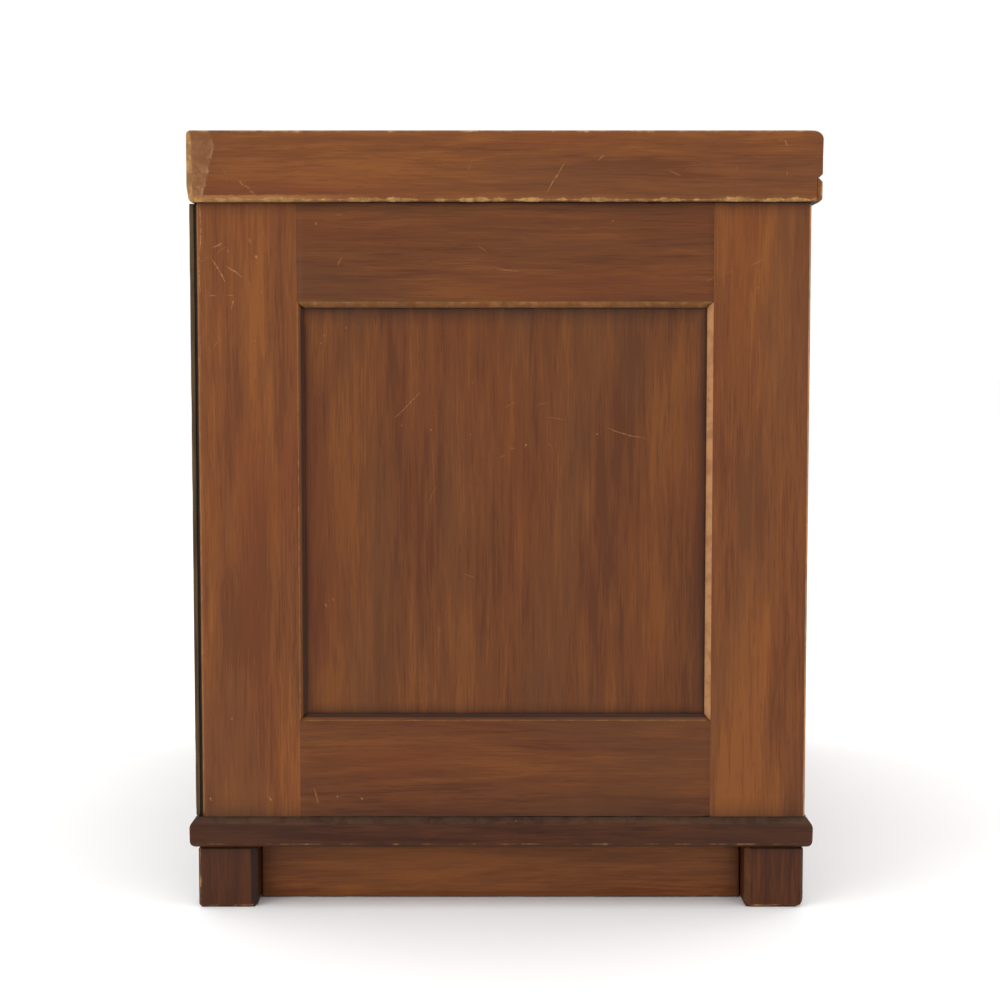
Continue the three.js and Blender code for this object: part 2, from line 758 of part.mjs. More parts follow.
// The lid's cross-section along its length, drawn in X and Z, with eased ends.
function lidLengthSection() {
  const topRound = 2.5;
  const lowerEase = 1.8;
  const shape = new THREE.Shape();
  shape.moveTo(-lidX + lowerEase, lidBottom);
  shape.lineTo(lidX - lowerEase, lidBottom);
  shape.lineTo(lidX, lidBottom + lowerEase);
  shape.lineTo(lidX, lidTop - topRound);
  shape.absarc(lidX - topRound, lidTop - topRound, topRound, 0, Math.PI / 2, false);
  shape.lineTo(-lidX + topRound, lidTop);
  shape.absarc(-lidX + topRound, lidTop - topRound, topRound, Math.PI / 2, Math.PI, false);
  shape.lineTo(-lidX, lidBottom + lowerEase);
  shape.closePath();
  return shape;
}

// The four boards round the lid. Above its groove the front board meets the ends in a small
// mitre. Below it, the front board laps them with a thin lip. The back board is butted between.
function lidBoards(insideX, insideY, topUnder) {
  const lapThickness = 5;
  const groove = lidBottom + 20.5;
  const deep = alongX(lidSection(groove), [-lidX - 1, lidX + 1]);
  const long = alongY(lidLengthSection(), [lidFront - 1, lidBack + 1]);
  const envelope = solidOf(deep).intersect(solidOf(long));
  const rebate = solidOf(
    block(
      [-insideX - lidTopInset, insideX + lidTopInset],
      [insideY[0] - lidTopInset, insideY[1] + lidTopInset],
      [topUnder - 0.5, lidTop + 1],
    ),
  );
  const lapBack = lidFront + lapThickness;
  const butt = lidX - lapThickness; // where the front board's end stops behind the lap
  const tongue = [
    [insideX - gap, lapBack],
    [insideX - gap, insideY[0]],
    [-insideX + gap, insideY[0]],
    [-insideX + gap, lapBack],
  ];
  const below = [lidBottom - 1, groove];
  const above = [groove, lidTop + 1];
  const lapped = [[-lidX - 1, lidFront - 1], [lidX + 1, lidFront - 1], [lidX + 1, lapBack],
    ...tongue, [-lidX - 1, lapBack]];
  const mitred = [[-lidX - 1, lidFront - 1], [lidX + 1, lidFront - 1], [butt, lapBack],
    ...tongue, [-butt, lapBack]];
  const butted = [
    [-insideX + gap, insideY[1]],
    [insideX - gap, insideY[1]],
    [insideX - gap, lidBack + 1],
    [-insideX + gap, lidBack + 1],
  ];
  const endBoard = (side) => [
    upright(outline([
      [side * insideX, lapBack + gap],
      [side * (lidX + 1), lapBack + gap],
      [side * (lidX + 1), lidBack + 1],
      [side * insideX, lidBack + 1],
    ]), [below[0], above[1]]),
    upright(outline([
      [side * (butt + mitreGap - gap), lapBack + gap],
      [side * (lidX + 1), lidFront - 1 + mitreGap],
      [side * (lidX + 1), lapBack + 1],
      [side * (butt - 1), lapBack + 1],
      [side * (butt - 1), lapBack + gap],
    ]), [above[0] + gap, above[1]]),
  ];
  const plans = {
    lid_front: [upright(outline(lapped), below), upright(outline(mitred), above)],
    lid_back: [upright(outline(butted), [below[0], above[1]])],
    lid_end_left: endBoard(-1),
    lid_end_right: endBoard(1),
  };
  for (const [name, prisms] of Object.entries(plans)) {
    const stock = solidOf(combine(prisms));
    add(icebox, name, lidWood, geometryOf(envelope.intersect(stock).subtract(rebate)));
  }
}

function lid() {
  const insideX = lidX - lidBoardThickness;
  const insideY = [lidFront + lidBoardThickness, lidBack - lidBoardThickness];
  const shrunk = ([low, high], by) => [low + by, high - by];
  const square = (reach, by) => shrunk([-reach, reach], by);

  const topUnder = lidTop - lidTopThickness - 1;
  lidBoards(insideX, insideY, topUnder);
  add(icebox, "lid_top", lidWood,
    easedBlock(
      square(insideX + lidTopInset, gap),
      shrunk([insideY[0] - lidTopInset, insideY[1] + lidTopInset], gap),
      [topUnder, lidTop - 1],
      0.8,
    ));

  // The pan's flange covers the boards' hollow and its well plugs the liner's mouth.
  const sheet = 1.2;
  const flange = [lidBottom + 3, lidBottom + 3 + sheet];
  const wellX = linerX - plugPlay;
  const wellY = linerY - plugPlay;
  const wellFloor = caseTop - plugDepth;
  add(icebox, "lid_pan", zinc, combine(
    [
      block([-wellX, wellX], [-wellY, wellY], [wellFloor, flange[1]]),
      block(square(insideX, gap), shrunk(insideY, gap), flange),
    ],
    [
      block(square(wellX, sheet), square(wellY, sheet), [wellFloor + sheet, flange[1] + 1]),
    ],
  ));

  const fillLow = wellFloor + sheet + gap;
  const step = flange[1] + gap;
  add(icebox, "lid_insulation", fillMaterial, combine([
    block(square(wellX, sheet + gap), square(wellY, sheet + gap), [fillLow, step + 1]),
    block(square(insideX, 2 * gap), shrunk(insideY, 2 * gap), [step, topUnder - gap]),
  ]));

  const gasketWidth = 20;
  const gasketX = endInside + 3;
  const gasketY = [frontInside - 6, backInside + 2];
  const gasketZ = [lidBottom + 0.3, flange[0] - gap];
  add(icebox, "lid_gasket", felt, combine(
    [block([-gasketX, gasketX], gasketY, gasketZ)],
    [block(square(gasketX, gasketWidth), shrunk(gasketY, gasketWidth), [lidBottom - 1, lidTop])],
  ));
}

// ---------------------------------------------------------------- hinges

// Surface butt hinges: five knuckles on one pin, three on the case's leaf and two on the lid's.
function hinges() {
  const leafThickness = 2;
  const leafWidth = 76;
  const leafHeight = 40;
  const knuckle = 4.2;
  const pinRadius = 1.9;
  const caseFace = backBoardFace + gap;
  const lidFace = lidBack + gap;
  const axisY = caseFace + knuckle;
  const axisZ = caseTop + lidJoint / 2;
  const knuckles = 5;
  const pitch = leafWidth / knuckles;
  const hingeX = 250;
  for (const [name, x] of [["left", -hingeX], ["right", hingeX]]) {
    const spans = Array.from({ length: knuckles }, (_, i) => {
      const left = x - leafWidth / 2 + i * pitch;
      return [left + gap, left + pitch - gap];
    });
    const leafX = [x - leafWidth / 2, x + leafWidth / 2];
    const caseSpans = spans.filter((_, i) => i % 2 === 0);
    const lidSpans = spans.filter((_, i) => i % 2 === 1);

    const caseLeaf = [block(leafX, [caseFace, caseFace + leafThickness],
      [axisZ - knuckle - leafHeight, axisZ - knuckle - gap])];
    for (const span of caseSpans) {
      caseLeaf.push(roundBar(knuckle, span, axisY, axisZ));
      caseLeaf.push(block(span, [caseFace, caseFace + leafThickness],
        [axisZ - knuckle - 1, axisZ - 1]));
      caseLeaf.push(block(span, [caseFace, axisY - 1], [axisZ - 2.5, axisZ - 0.8]));
    }
    caseLeaf.push(roundBar(pinRadius, [leafX[0] - 2, leafX[1] + 2], axisY, axisZ, 16));
    add(icebox, `hinge_${name}_case_leaf`, brass, combine(caseLeaf));

    const lidLeaf = [block(leafX, [lidFace, lidFace + leafThickness],
      [axisZ + knuckle + gap, axisZ + knuckle + leafHeight])];
    for (const span of lidSpans) {
      lidLeaf.push(roundBar(knuckle, span, axisY, axisZ));
      lidLeaf.push(block(span, [lidFace, lidFace + leafThickness],
        [axisZ + 1, axisZ + knuckle + 1]));
    }
    const bore = roundBar(pinRadius + gap, [leafX[0] - 1, leafX[1] + 1], axisY, axisZ, 16);
    add(icebox, `hinge_${name}_lid_leaf`, brass, combine(lidLeaf, [bore]));
  }
}

// ---------------------------------------------------------------- lid pull

// A drop handle on the lid's front: a plate with two eyes, and a bail that swings up in them.
function lidPull() {
  const face = lidFront - gap;
  const plateX = 62;
  const plateZ = [lidTop - 38, lidTop - 10];
  const axisZ = lidTop - 20;
  const axisY = face - 9;
  const eyeX = 42;
  const eyeHalf = 4;
  const eyeRadius = 5.5;
  const rod = 3.2;
  const drop = 36;
  const plate = easedBlock([-plateX, plateX], [face - 2, face], plateZ, 0.7);
  const eyes = [];
  const bores = [];
  for (const side of [-1, 1]) {
    const xs = [side * eyeX - eyeHalf, side * eyeX + eyeHalf];
    eyes.push(block(xs, [axisY, face - 1], [axisZ - eyeRadius, axisZ + eyeRadius]));
    eyes.push(roundBar(eyeRadius, xs, axisY, axisZ));
    bores.push(roundBar(rod + 0.5, [xs[0] - 1, xs[1] + 1], axisY, axisZ));
  }
  add(icebox, "lid_pull_plate", brass, combine([plate, ...eyes], bores));

  // The bail's centreline: in through one eye, down, across and back up to the other.
  const footBend = 9;
  const eyeBend = 6;
  const wide = eyeX + eyeHalf + 7;
  const route = new THREE.CurvePath();
  const at = (x, z) => new THREE.Vector3(x, axisY, axisZ + z);
  const inner = eyeX - eyeHalf - 1;
  const leftArm = [at(-inner, 0), at(-wide, 0), at(-wide, -drop)];
  const rightArm = [at(wide, -drop), at(wide, 0), at(inner, 0)];
  const corners = [...leftArm, ...rightArm];
  let from = corners[0];
  for (let i = 1; i < corners.length - 1; i++) {
    const before = new THREE.Vector3().subVectors(corners[i - 1], corners[i]).normalize();
    const after = new THREE.Vector3().subVectors(corners[i + 1], corners[i]).normalize();
    const radius = i === 1 || i === corners.length - 2 ? eyeBend : footBend;
    const start = corners[i].clone().addScaledVector(before, radius);
    const end = corners[i].clone().addScaledVector(after, radius);
    route.add(new THREE.LineCurve3(from, start));
    route.add(new THREE.QuadraticBezierCurve3(start, corners[i], end));
    from = end;
  }
  route.add(new THREE.LineCurve3(from, corners[corners.length - 1]));
  const section = new THREE.Shape().absarc(0, 0, rod, 0, 2 * Math.PI, false);
  const bail = new THREE.ExtrudeGeometry(section, {
    steps: 60,
    curveSegments: 5,
    bevelEnabled: false,
    extrudePath: route,
  });
  add(icebox, "lid_pull_bail", brass, geometryOf(solidOf(bail)));
}

// ---------------------------------------------------------------- assembly

walls();
back();
baseFrame();
feetAndAprons();
insulationAndLiner();
drain();
iceRack();
provisionTray();
dripTray();
lid();
hinges();
lidPull();

// Centres the outline on the origin.
const outlineBox = new THREE.Box3().setFromObject(icebox);
icebox.position.y = -(outlineBox.min.y + outlineBox.max.y) / 2;

export default icebox;
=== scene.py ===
"""Lift-top wooden ice chest: the looks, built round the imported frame.

Metres, in the frame's own axes: +X along the length, -Y the front, +Z up. The camera looks at the
left end, so the hinge side is on the left of the picture.
"""

import json
import math
import random

import bmesh
import bpy
from mathutils import Matrix, Vector, noise


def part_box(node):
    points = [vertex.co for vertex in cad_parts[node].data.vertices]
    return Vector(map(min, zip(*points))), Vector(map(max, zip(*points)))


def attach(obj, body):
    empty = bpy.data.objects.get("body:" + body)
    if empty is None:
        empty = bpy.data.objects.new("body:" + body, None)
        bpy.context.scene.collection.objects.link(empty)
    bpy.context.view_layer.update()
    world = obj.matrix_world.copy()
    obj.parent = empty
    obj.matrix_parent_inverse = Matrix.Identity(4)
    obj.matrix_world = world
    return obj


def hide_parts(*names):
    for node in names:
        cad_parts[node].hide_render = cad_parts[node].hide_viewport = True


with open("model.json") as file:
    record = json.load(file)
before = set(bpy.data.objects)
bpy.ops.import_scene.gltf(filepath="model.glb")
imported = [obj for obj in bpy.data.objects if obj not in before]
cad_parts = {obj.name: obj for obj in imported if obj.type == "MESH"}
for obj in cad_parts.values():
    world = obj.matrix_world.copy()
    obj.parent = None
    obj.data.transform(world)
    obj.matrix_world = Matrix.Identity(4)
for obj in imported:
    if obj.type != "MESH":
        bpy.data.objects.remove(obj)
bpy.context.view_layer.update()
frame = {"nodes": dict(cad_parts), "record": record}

MM = 0.001
COVERED = 1.0  # added to the distance from a face that another board covers, so no wear reaches it
CHAMFER = 5.4 * MM  # the worked edge round each panel
TENON = 11 * MM  # how far a rail reaches past the opening, into its stile
PLAY = 0.3 * MM  # between neighbouring boards
NEAR_SIDE = 2.6 * MM  # what lies this close to a board's side moves with it
PROUD = 0.05 * MM  # how far scratches stand out of their face
SET_BACK = 0.06  # millimetres by which the lid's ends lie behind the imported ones, for scratches
WELD = 0.004 * MM  # vertices this close together are one
CUT_WELD = 0.002 * MM  # and these, where a board is sliced
ARRIS_REACH = 2.2 * MM  # what lies this close to two sides is part of their arris
SATIN = 0.16  # the specular level of old, rubbed varnish

scene = bpy.context.scene
scene.view_settings.view_transform = "Standard"


# ---- colours


def srgb(red, green, blue):
    """A colour given as 0-255 screen values, as the linear RGBA that sockets take."""
    parts = [c / 255 for c in (red, green, blue)]
    return tuple(c / 12.92 if c <= 0.04045 else ((c + 0.055) / 1.055) ** 2.4 for c in parts) + (1,)


def tint(colour, red, green, blue):
    """A colour with its three linear parts scaled."""
    return tuple(c * by for c, by in zip(colour, (red, green, blue))) + (1,)


# The dark of dirt, also used for painted shade in recesses, under the lid, above the base and on
# chamfers turned from the key light.
DIRT_AND_SHADE = srgb(34, 27, 24)


# ---- node helpers


class Graph:
    """A material's node tree, with one short method for each kind of node it needs."""

    def __init__(self, name, specular=None):
        self.material = bpy.data.materials.new(name)
        self.material.use_nodes = True
        self.tree = self.material.node_tree
        self.shader = self.tree.nodes["Principled BSDF"]
        if specular is not None:
            self.shader.inputs["Specular IOR Level"].default_value = specular

    def node(self, kind, **settings):
        made = self.tree.nodes.new("ShaderNode" + kind)
        for key, value in settings.items():
            setattr(made, key, value)
        return made

    def put(self, socket, value):
        if isinstance(value, bpy.types.NodeSocket):
            self.tree.links.new(value, socket)
        else:
            socket.default_value = value

    def feed(self, node, values, output=0):
        """Fills a node's inputs, given by name or in their order, and returns an output."""
        for key, value in values.items() if isinstance(values, dict) else enumerate(values):
            self.put(node.inputs[key], value)
        return node.outputs[output]

    def attribute(self, name, output="Fac"):
        return self.node("Attribute", attribute_name=name).outputs[output]

    def place(self):
        return self.node("TexCoord").outputs["Object"]

    def facing(self):
        return self.split(self.node("TexCoord").outputs["Normal"])

    def math(self, operation, *values, clamp=False):
        return self.feed(self.node("Math", operation=operation, use_clamp=clamp), values)

    def times(self, first, second, clamp=False):
        return self.math("MULTIPLY", first, second, clamp=clamp)

    def times_plus(self, value, factor, added):
        return self.math("MULTIPLY_ADD", value, factor, added)

    def plus(self, first, second):
        return self.math("ADD", first, second)

    def minus(self, first, second):
        return self.math("SUBTRACT", first, second)

    def most(self, first, second):
        return self.math("MAXIMUM", first, second)

    def least(self, first, second):
        return self.math("MINIMUM", first, second)

    def vector(self, operation, *values):
        return self.feed(self.node("VectorMath", operation=operation), values)

    def split(self, vector):
        made = self.node("SeparateXYZ")
        self.put(made.inputs[0], vector)
        return made.outputs

    def join(self, x, y, z):
        return self.feed(self.node("CombineXYZ"), (x, y, z))

    def noise(self, vector, across, along=None, detail=2.0, rough=0.5, distortion=0.0):
        """Noise with so many features a metre across the grain and along it."""
        scaled = self.vector("MULTIPLY", vector, (across, across, along or across))
        return self.feed(self.node("TexNoise"), {
            "Vector": scaled, "Scale": 1.0, "Detail": detail, "Roughness": rough,
            "Distortion": distortion,
        }, "Fac")

    def cells(self, vector, scale):
        """How far the nearest cell's middle is, and that cell's own share, from 0 to 1."""
        made = self.node("TexVoronoi")
        distance = self.feed(made, {"Vector": vector, "Scale": scale}, "Distance")
        return distance, self.split(made.outputs["Color"])[0]

    def step(self, value, low, high, start=0.0, end=1.0):
        """Goes smoothly from start to end as the value goes from low to high."""
        return self.feed(self.node("MapRange", interpolation_type="SMOOTHSTEP"), {
            "Value": value, "From Min": low, "From Max": high, "To Min": start, "To Max": end,
        }, "Result")

    def mix(self, factor, first, second, blend="MIX"):
        made = self.node("Mix", data_type="RGBA", blend_type=blend)
        return self.feed(made, {0: factor, 6: first, 7: second}, 2)

    def ramp(self, factor, *stops):
        made = self.node("ValToRGB")
        made.color_ramp.interpolation = "EASE"
        elements = made.color_ramp.elements
        while len(elements) < len(stops):
            elements.new(0.5)
        for element, (position, colour) in zip(elements, stops):
            element.position, element.color = position, colour
        return self.feed(made, (factor,), "Color")

    def bump(self, height, distance):
        values = {"Height": height, "Distance": distance, "Strength": 1.0}
        self.put(self.shader.inputs["Normal"], self.feed(self.node("Bump"), values))

    def finish(self, colour, roughness, metallic=0.0):
        self.feed(self.shader, {"Base Color": colour, "Roughness": roughness, "Metallic": metallic})
        return self.material


# ---- materials


def wood_grain(graph, mid, contrast):
    """The stain over the grain, from broad clouds down to the pores, with broad redder
    stretches and duller, greyer ones. Also returns the fine lines, the pores and the broad cast."""
    grain = graph.attribute("grain", "Vector")
    bend = graph.noise(grain, 9, 2.2)
    sway = graph.vector("MULTIPLY", graph.join(bend, bend, 0.0), (0.010, 0.010, 0.0))
    bent = graph.vector("ADD", grain, sway)
    clouds = graph.noise(bent, 24, 4.0, detail=3.0, rough=0.6)
    streaks = graph.noise(bent, 130, 9.0, detail=4.0, rough=0.66, distortion=0.2)
    lines = graph.noise(bent, 620, 24.0, detail=3.0, rough=0.6)
    pores = graph.noise(bent, 900, 60.0, rough=0.6)
    figure = graph.times(clouds, 0.40)
    for layer, weight in ((streaks, 0.31), (lines, 0.22), (pores, 0.07)):
        figure = graph.times_plus(layer, weight, figure)
    spread = 0.085 / contrast
    colour = graph.ramp(figure, (0.5 - spread, tint(mid, 0.72, 0.68, 0.76)), (0.5, mid),
                        (0.5 + spread, tint(mid, 1.32, 1.36, 1.14)))
    colour = graph.mix(graph.step(pores, 0.36, 0.26, 0.0, 0.5), colour, tint(mid, 0.5, 0.42, 0.5))
    cast = graph.noise(bent, 15, 3.0)
    red = graph.step(cast, 0.50, 0.66, 0.0, 0.4)
    dull = graph.step(cast, 0.50, 0.36, 0.0, 0.4)
    colour = graph.mix(red, colour, tint(mid, 0.98, 0.78, 0.86))
    colour = graph.mix(dull, colour, tint(mid, 0.80, 0.94, 1.25))
    return colour, lines, pores, cast


def edge_distance(graph):
    """How far a point is from the board's nearest free edge."""
    low = graph.split(graph.attribute("to_low", "Vector"))
    high = graph.split(graph.attribute("to_high", "Vector"))
    a, b, c = [graph.least(l, h) for l, h in zip(low, high)]
    return graph.most(graph.least(a, b), graph.least(graph.most(a, b), c))


def bare_wood(graph, spot, worked):
    """Old bare wood, paler still on worn chamfers that face the key light, as painted highlight."""
    patchy = graph.noise(spot, 110, detail=5.0, rough=0.65)
    colour = graph.ramp(patchy, (0.36, srgb(122, 88, 50)), (0.5, srgb(144, 104, 60)),
                        (0.62, srgb(168, 125, 78)))
    # Painted highlight: chamfers set near 1 and above, which face the key light, turn paler.
    return graph.mix(graph.step(worked, 0.9, 1.5), colour, srgb(182, 132, 90))


def stained_wood(name, mid, wear=1.0, band=2.0, extra=None, roughness=0.5, contrast=1.0):
    """Stained and varnished boards with a fine, streaky grain, rubbed edges, dents and dirt, and
    painted shade and highlight.

    mid is the stain's middle colour, wear scales how much bare wood shows, band is how many
    millimetres of it there are along a free edge, and extra adds what only some boards have.
    """
    graph = Graph(name, SATIN)
    spot = graph.place()
    colour, lines, pores, cast = wood_grain(graph, mid, contrast)

    # Dirt where boards meet, and painted shade in the panels' recesses, under the lid and above the
    # base.
    patchy = graph.noise(spot, 34, detail=4.0, rough=0.6)
    dirt_and_shade = graph.times(graph.attribute("dirt_and_shade"), graph.step(patchy, 0.25, 0.7, 0.7, 1.1))
    colour = graph.mix(dirt_and_shade, colour, DIRT_AND_SHADE)

    # A few small pale dents.
    far, pick = graph.cells(spot, 17)
    dents = graph.step(graph.plus(far, graph.times(lines, 0.02)), 0.018, 0.034, 1, 0)
    marks = graph.times(dents, graph.step(pick, 0.6, 0.9, 0.0, 0.5))

    # Bare wood along the free edges, and on worked chamfers, which are black where they're below 0,
    # as dirt and painted shade, and paler near 1 and above, as painted highlight.
    ragged = graph.noise(spot, 60, detail=5.0, rough=0.62)
    reach = graph.step(ragged, 0.32, 0.72, 0.1 * band * MM, 1.9 * band * MM)
    past = graph.minus(edge_distance(graph), reach)
    rubbed = graph.step(past, -0.5 * MM, 0.5 * MM, 1.0, 0.0)
    worked = graph.attribute("chamfer")
    sticking = graph.times(graph.step(worked, 0.05, 0.75), graph.step(ragged, 0.36, 0.56, 0.6, 1.0))
    bare = graph.times(graph.most(rubbed, sticking), wear, clamp=True)
    halo = graph.step(past, 0.0, 4 * MM, 0.3 * wear, 0.0)
    colour = graph.mix(halo, colour, tint(mid, 1.5, 1.8, 1.9))
    # Chamfers below 0 turn black: dirt and painted shade.
    colour = graph.mix(graph.step(worked, -0.05, -0.5, 0.0, 0.85), colour, DIRT_AND_SHADE)
    if extra:
        colour, marks = extra(graph, spot, colour, marks)
    colour = graph.mix(marks, colour, srgb(140, 94, 56))
    colour = graph.mix(bare, colour, bare_wood(graph, spot, worked))

    height = graph.times_plus(lines, 0.5, graph.times(pores, 0.6))
    graph.bump(graph.minus(height, graph.times(marks, 0.8)), 0.14 * MM)
    gloss = graph.step(cast, 0.3, 0.7, roughness - 0.06, roughness + 0.06)
    worn = graph.most(bare, marks)
    return graph.finish(colour, graph.times_plus(worn, 0.2, graph.times_plus(dirt_and_shade, 0.25, gloss)))


def scuffed_corner(graph, spot, colour, marks):
    """On the left end only: a scuffed patch by the lid's back corner, with a pale rim, and the
    lower edge beside it worn down to the wood."""
    x, y, z = graph.split(spot)
    bend_height, bend_place = 697 * MM, 262.7 * MM  # where the patch's rim changes direction
    on_end = graph.step(x, -420 * MM, -415 * MM, 1.0, 0.0)
    above = graph.minus(z, bend_height)
    slope = graph.times_plus(above, -0.25, bend_place)
    limit = graph.plus(slope, graph.times(graph.most(above, 0.0), 0.6))
    limit = graph.plus(limit, graph.times(graph.noise(spot, 90), 3 * MM))
    past = graph.minus(y, limit)
    scuffs = graph.noise(spot, 130, detail=5.0, rough=0.7)
    patch = graph.times(graph.step(past, -0.6 * MM, 0.6 * MM),
                        graph.step(scuffs, 0.36, 0.66, 0.22, 0.68))
    rim = graph.times(graph.step(graph.math("ABSOLUTE", past), 1.9 * MM, 0.2 * MM),
                      graph.step(scuffs, 0.40, 0.62, 0.05, 0.40))
    fading = graph.times(on_end, graph.step(z, 704 * MM, 675 * MM, 0.6, 1.0))
    colour = graph.mix(graph.times(patch, fading), colour, srgb(136, 100, 66))
    colour = graph.mix(graph.times(rim, fading), colour, srgb(168, 128, 104))
    ragged = graph.times(graph.noise(spot, 150, detail=3.0, rough=0.6), 3.5 * MM)
    low = graph.step(graph.plus(z, ragged), 655.6 * MM, 654.2 * MM)
    worn = graph.times(graph.times(low, on_end), graph.step(y, 100 * MM, 240 * MM))
    return colour, graph.most(marks, graph.times(worn, 0.85))


def scratched(name, stained):
    """Cut-through stain: from nearly the stain's own colour to pale bare wood."""
    graph = Graph(name, SATIN)
    spot = graph.place()
    depth = graph.attribute("depth")
    patchy = graph.noise(spot, 300, detail=3.0, rough=0.6)
    share = graph.times(depth, graph.step(patchy, 0.32, 0.62, 0.35, 0.9))
    bare = graph.ramp(patchy, (0.35, srgb(158, 112, 62)), (0.65, srgb(196, 146, 92)))
    graph.bump(patchy, 0.05 * MM)
    return graph.finish(graph.mix(share, stained, bare), graph.step(share, 0.0, 1.0, 0.5, 0.75))


def dust_and_top_light(graph, spot, colour, marks):
    """Olive dust and rubbed stain on what faces up, lighter there also as painted light from above.
    """
    up = graph.step(graph.facing()[2], 0.25, 0.8, 0.0, 0.24)
    patchy = graph.step(graph.noise(spot, 90, detail=5.0, rough=0.65), 0.38, 0.6, 0.15, 1.0)
    return graph.mix(graph.times(up, patchy), colour, srgb(92, 72, 46)), marks


def rough_boards(name, dark, light):
    """Unfinished boards, darkened with age: strong grain, stains and saw marks."""
    graph = Graph(name, SATIN)
    grain = graph.attribute("grain", "Vector")
    streaks = graph.noise(grain, 46, 4.0, detail=5.0, rough=0.62, distortion=0.4)
    fibres = graph.noise(grain, 700, 20.0, detail=3.0, rough=0.65)
    figure = graph.times_plus(streaks, 0.7, graph.times(fibres, 0.3))
    colour = graph.ramp(figure, (0.36, dark), (0.64, light))
    spot = graph.place()
    stains = graph.step(graph.noise(spot, 9, detail=5.0, rough=0.6), 0.45, 0.7, 0.0, 0.55)
    colour = graph.mix(stains, colour, dark)
    # Dirt, and painted shade under the lid and above the base.
    colour = graph.mix(graph.attribute("dirt_and_shade"), colour, srgb(28, 24, 20))
    saw = graph.noise(grain, 4, 300.0, detail=1.0)
    graph.bump(graph.times_plus(saw, 0.4, fibres), 0.3 * MM)
    return graph.finish(colour, graph.step(streaks, 0.3, 0.7, 0.72, 0.9))


def sheet_zinc(name, tone, metallic=0.85):
    """Dull sheet zinc: soft crystal patches, fine rubbing and white bloom."""
    graph = Graph(name)
    spot = graph.place()
    shift = graph.join(graph.times(graph.noise(spot, 30), 0.03), 0.0, 0.0)
    pick = graph.cells(graph.vector("ADD", spot, shift), 26)[1]
    crystals = graph.step(pick, 0.0, 1.0, 0.86, 1.06)
    base = graph.mix(1.0, srgb(*tone), graph.join(crystals, crystals, crystals), "MULTIPLY")
    bloom = graph.step(graph.noise(spot, 14, detail=6.0, rough=0.62), 0.48, 0.72, 0.0, 0.55)
    colour = graph.mix(bloom, base, srgb(186, 188, 184))
    stain = graph.step(graph.noise(spot, 5, detail=5.0, rough=0.6), 0.55, 0.75, 0.0, 0.4)
    colour = graph.mix(stain, colour, srgb(112, 108, 98))
    rubbing = graph.noise(spot, 260, 900)
    graph.bump(graph.times_plus(rubbing, 0.2, graph.noise(spot, 7, detail=1.0)), 0.9 * MM)
    rough = graph.times_plus(bloom, 0.4, graph.step(pick, 0.0, 1.0, 0.34, 0.5))
    return graph.finish(colour, rough, metallic)


def aged_brass(name):
    """Brass with patchy dark tarnish, brighter rubbed patches and fine dark specks."""
    graph = Graph(name)
    spot = graph.place()
    tarnish = graph.step(graph.noise(spot, 38, detail=6.0, rough=0.6), 0.32, 0.74)
    colour = graph.ramp(tarnish, (0.0, srgb(168, 130, 74)), (0.55, srgb(142, 107, 62)),
                        (1.0, srgb(106, 82, 50)))
    specks = graph.step(graph.noise(spot, 420, detail=3.0), 0.6, 0.7, 0.0, 0.6)
    colour = graph.mix(specks, colour, srgb(58, 48, 34))
    graph.bump(graph.noise(spot, 500, detail=3.0), 0.08 * MM)
    return graph.finish(colour, graph.times_plus(tarnish, 0.3, 0.27), 0.92)


def fibrous(name, dark, light, scale):
    """Matted felt, packed fill or tarred paper."""
    graph = Graph(name)
    spot = graph.place()
    fuzz = graph.noise(spot, scale, detail=6.0, rough=0.7)
    broad = graph.noise(spot, scale / 12, detail=3.0)
    colour = graph.ramp(graph.times_plus(fuzz, 0.6, graph.times(broad, 0.4)),
                        (0.38, dark), (0.62, light))
    graph.bump(fuzz, 0.5 * MM)
    return graph.finish(colour, graph.step(fuzz, 0.3, 0.7, 0.86, 0.97))


FRAME_MID, RAIL_MID, PANEL_MID = srgb(107, 60, 27), srgb(93, 51, 23), srgb(96, 53, 23)
LID_MID = srgb(105, 59, 27)

wood_of = {
    "frame": stained_wood("frame wood", FRAME_MID, 0.8, 0.7),
    "rail": stained_wood("rail wood", RAIL_MID, 0.8, 0.7),
    "panel": stained_wood("panel wood", PANEL_MID, 0.7, 0.5),
    "lid": stained_wood("lid wood", LID_MID, 1.0, 1.4, scuffed_corner, 0.46),
    "base": stained_wood("base wood", srgb(63, 32, 15), 0.5, 0.8, dust_and_top_light, 0.48, 2.1),
    "feet": stained_wood("foot wood", srgb(70, 35, 15), 0.75, 1.2, None, 0.5, 2.1),
    "apron": stained_wood("apron wood", srgb(111, 62, 28), 0.6, 0.7, contrast=1.4),
    "back": rough_boards("back board wood", srgb(56, 43, 28), srgb(101, 80, 51)),
    "bare": rough_boards("slat wood", srgb(112, 82, 50), srgb(178, 140, 92)),
}
zinc = sheet_zinc("sheet zinc", (150, 154, 156))
galvanised = sheet_zinc("galvanised sheet", (132, 137, 140))
brass = aged_brass("aged brass")
felt = fibrous("felt", srgb(58, 54, 48), srgb(104, 98, 88), 1400)
fill = fibrous("packed fill", srgb(34, 30, 27), srgb(74, 66, 58), 600)
# Near-black paper: it also stands as painted shade in the crevice behind the back boards.
lining_paper_as_shade = fibrous("lining paper as shade", srgb(16, 14, 13), srgb(36, 31, 27), 900)


# ---- boards

AXES = (Vector((1, 0, 0)), Vector((0, 1, 0)), Vector((0, 0, 1)))
SIDES = {"-x": (0, 0), "+x": (0, 1), "-y": (1, 0), "+y": (1, 1), "-z": (2, 0), "+z": (2, 1)}


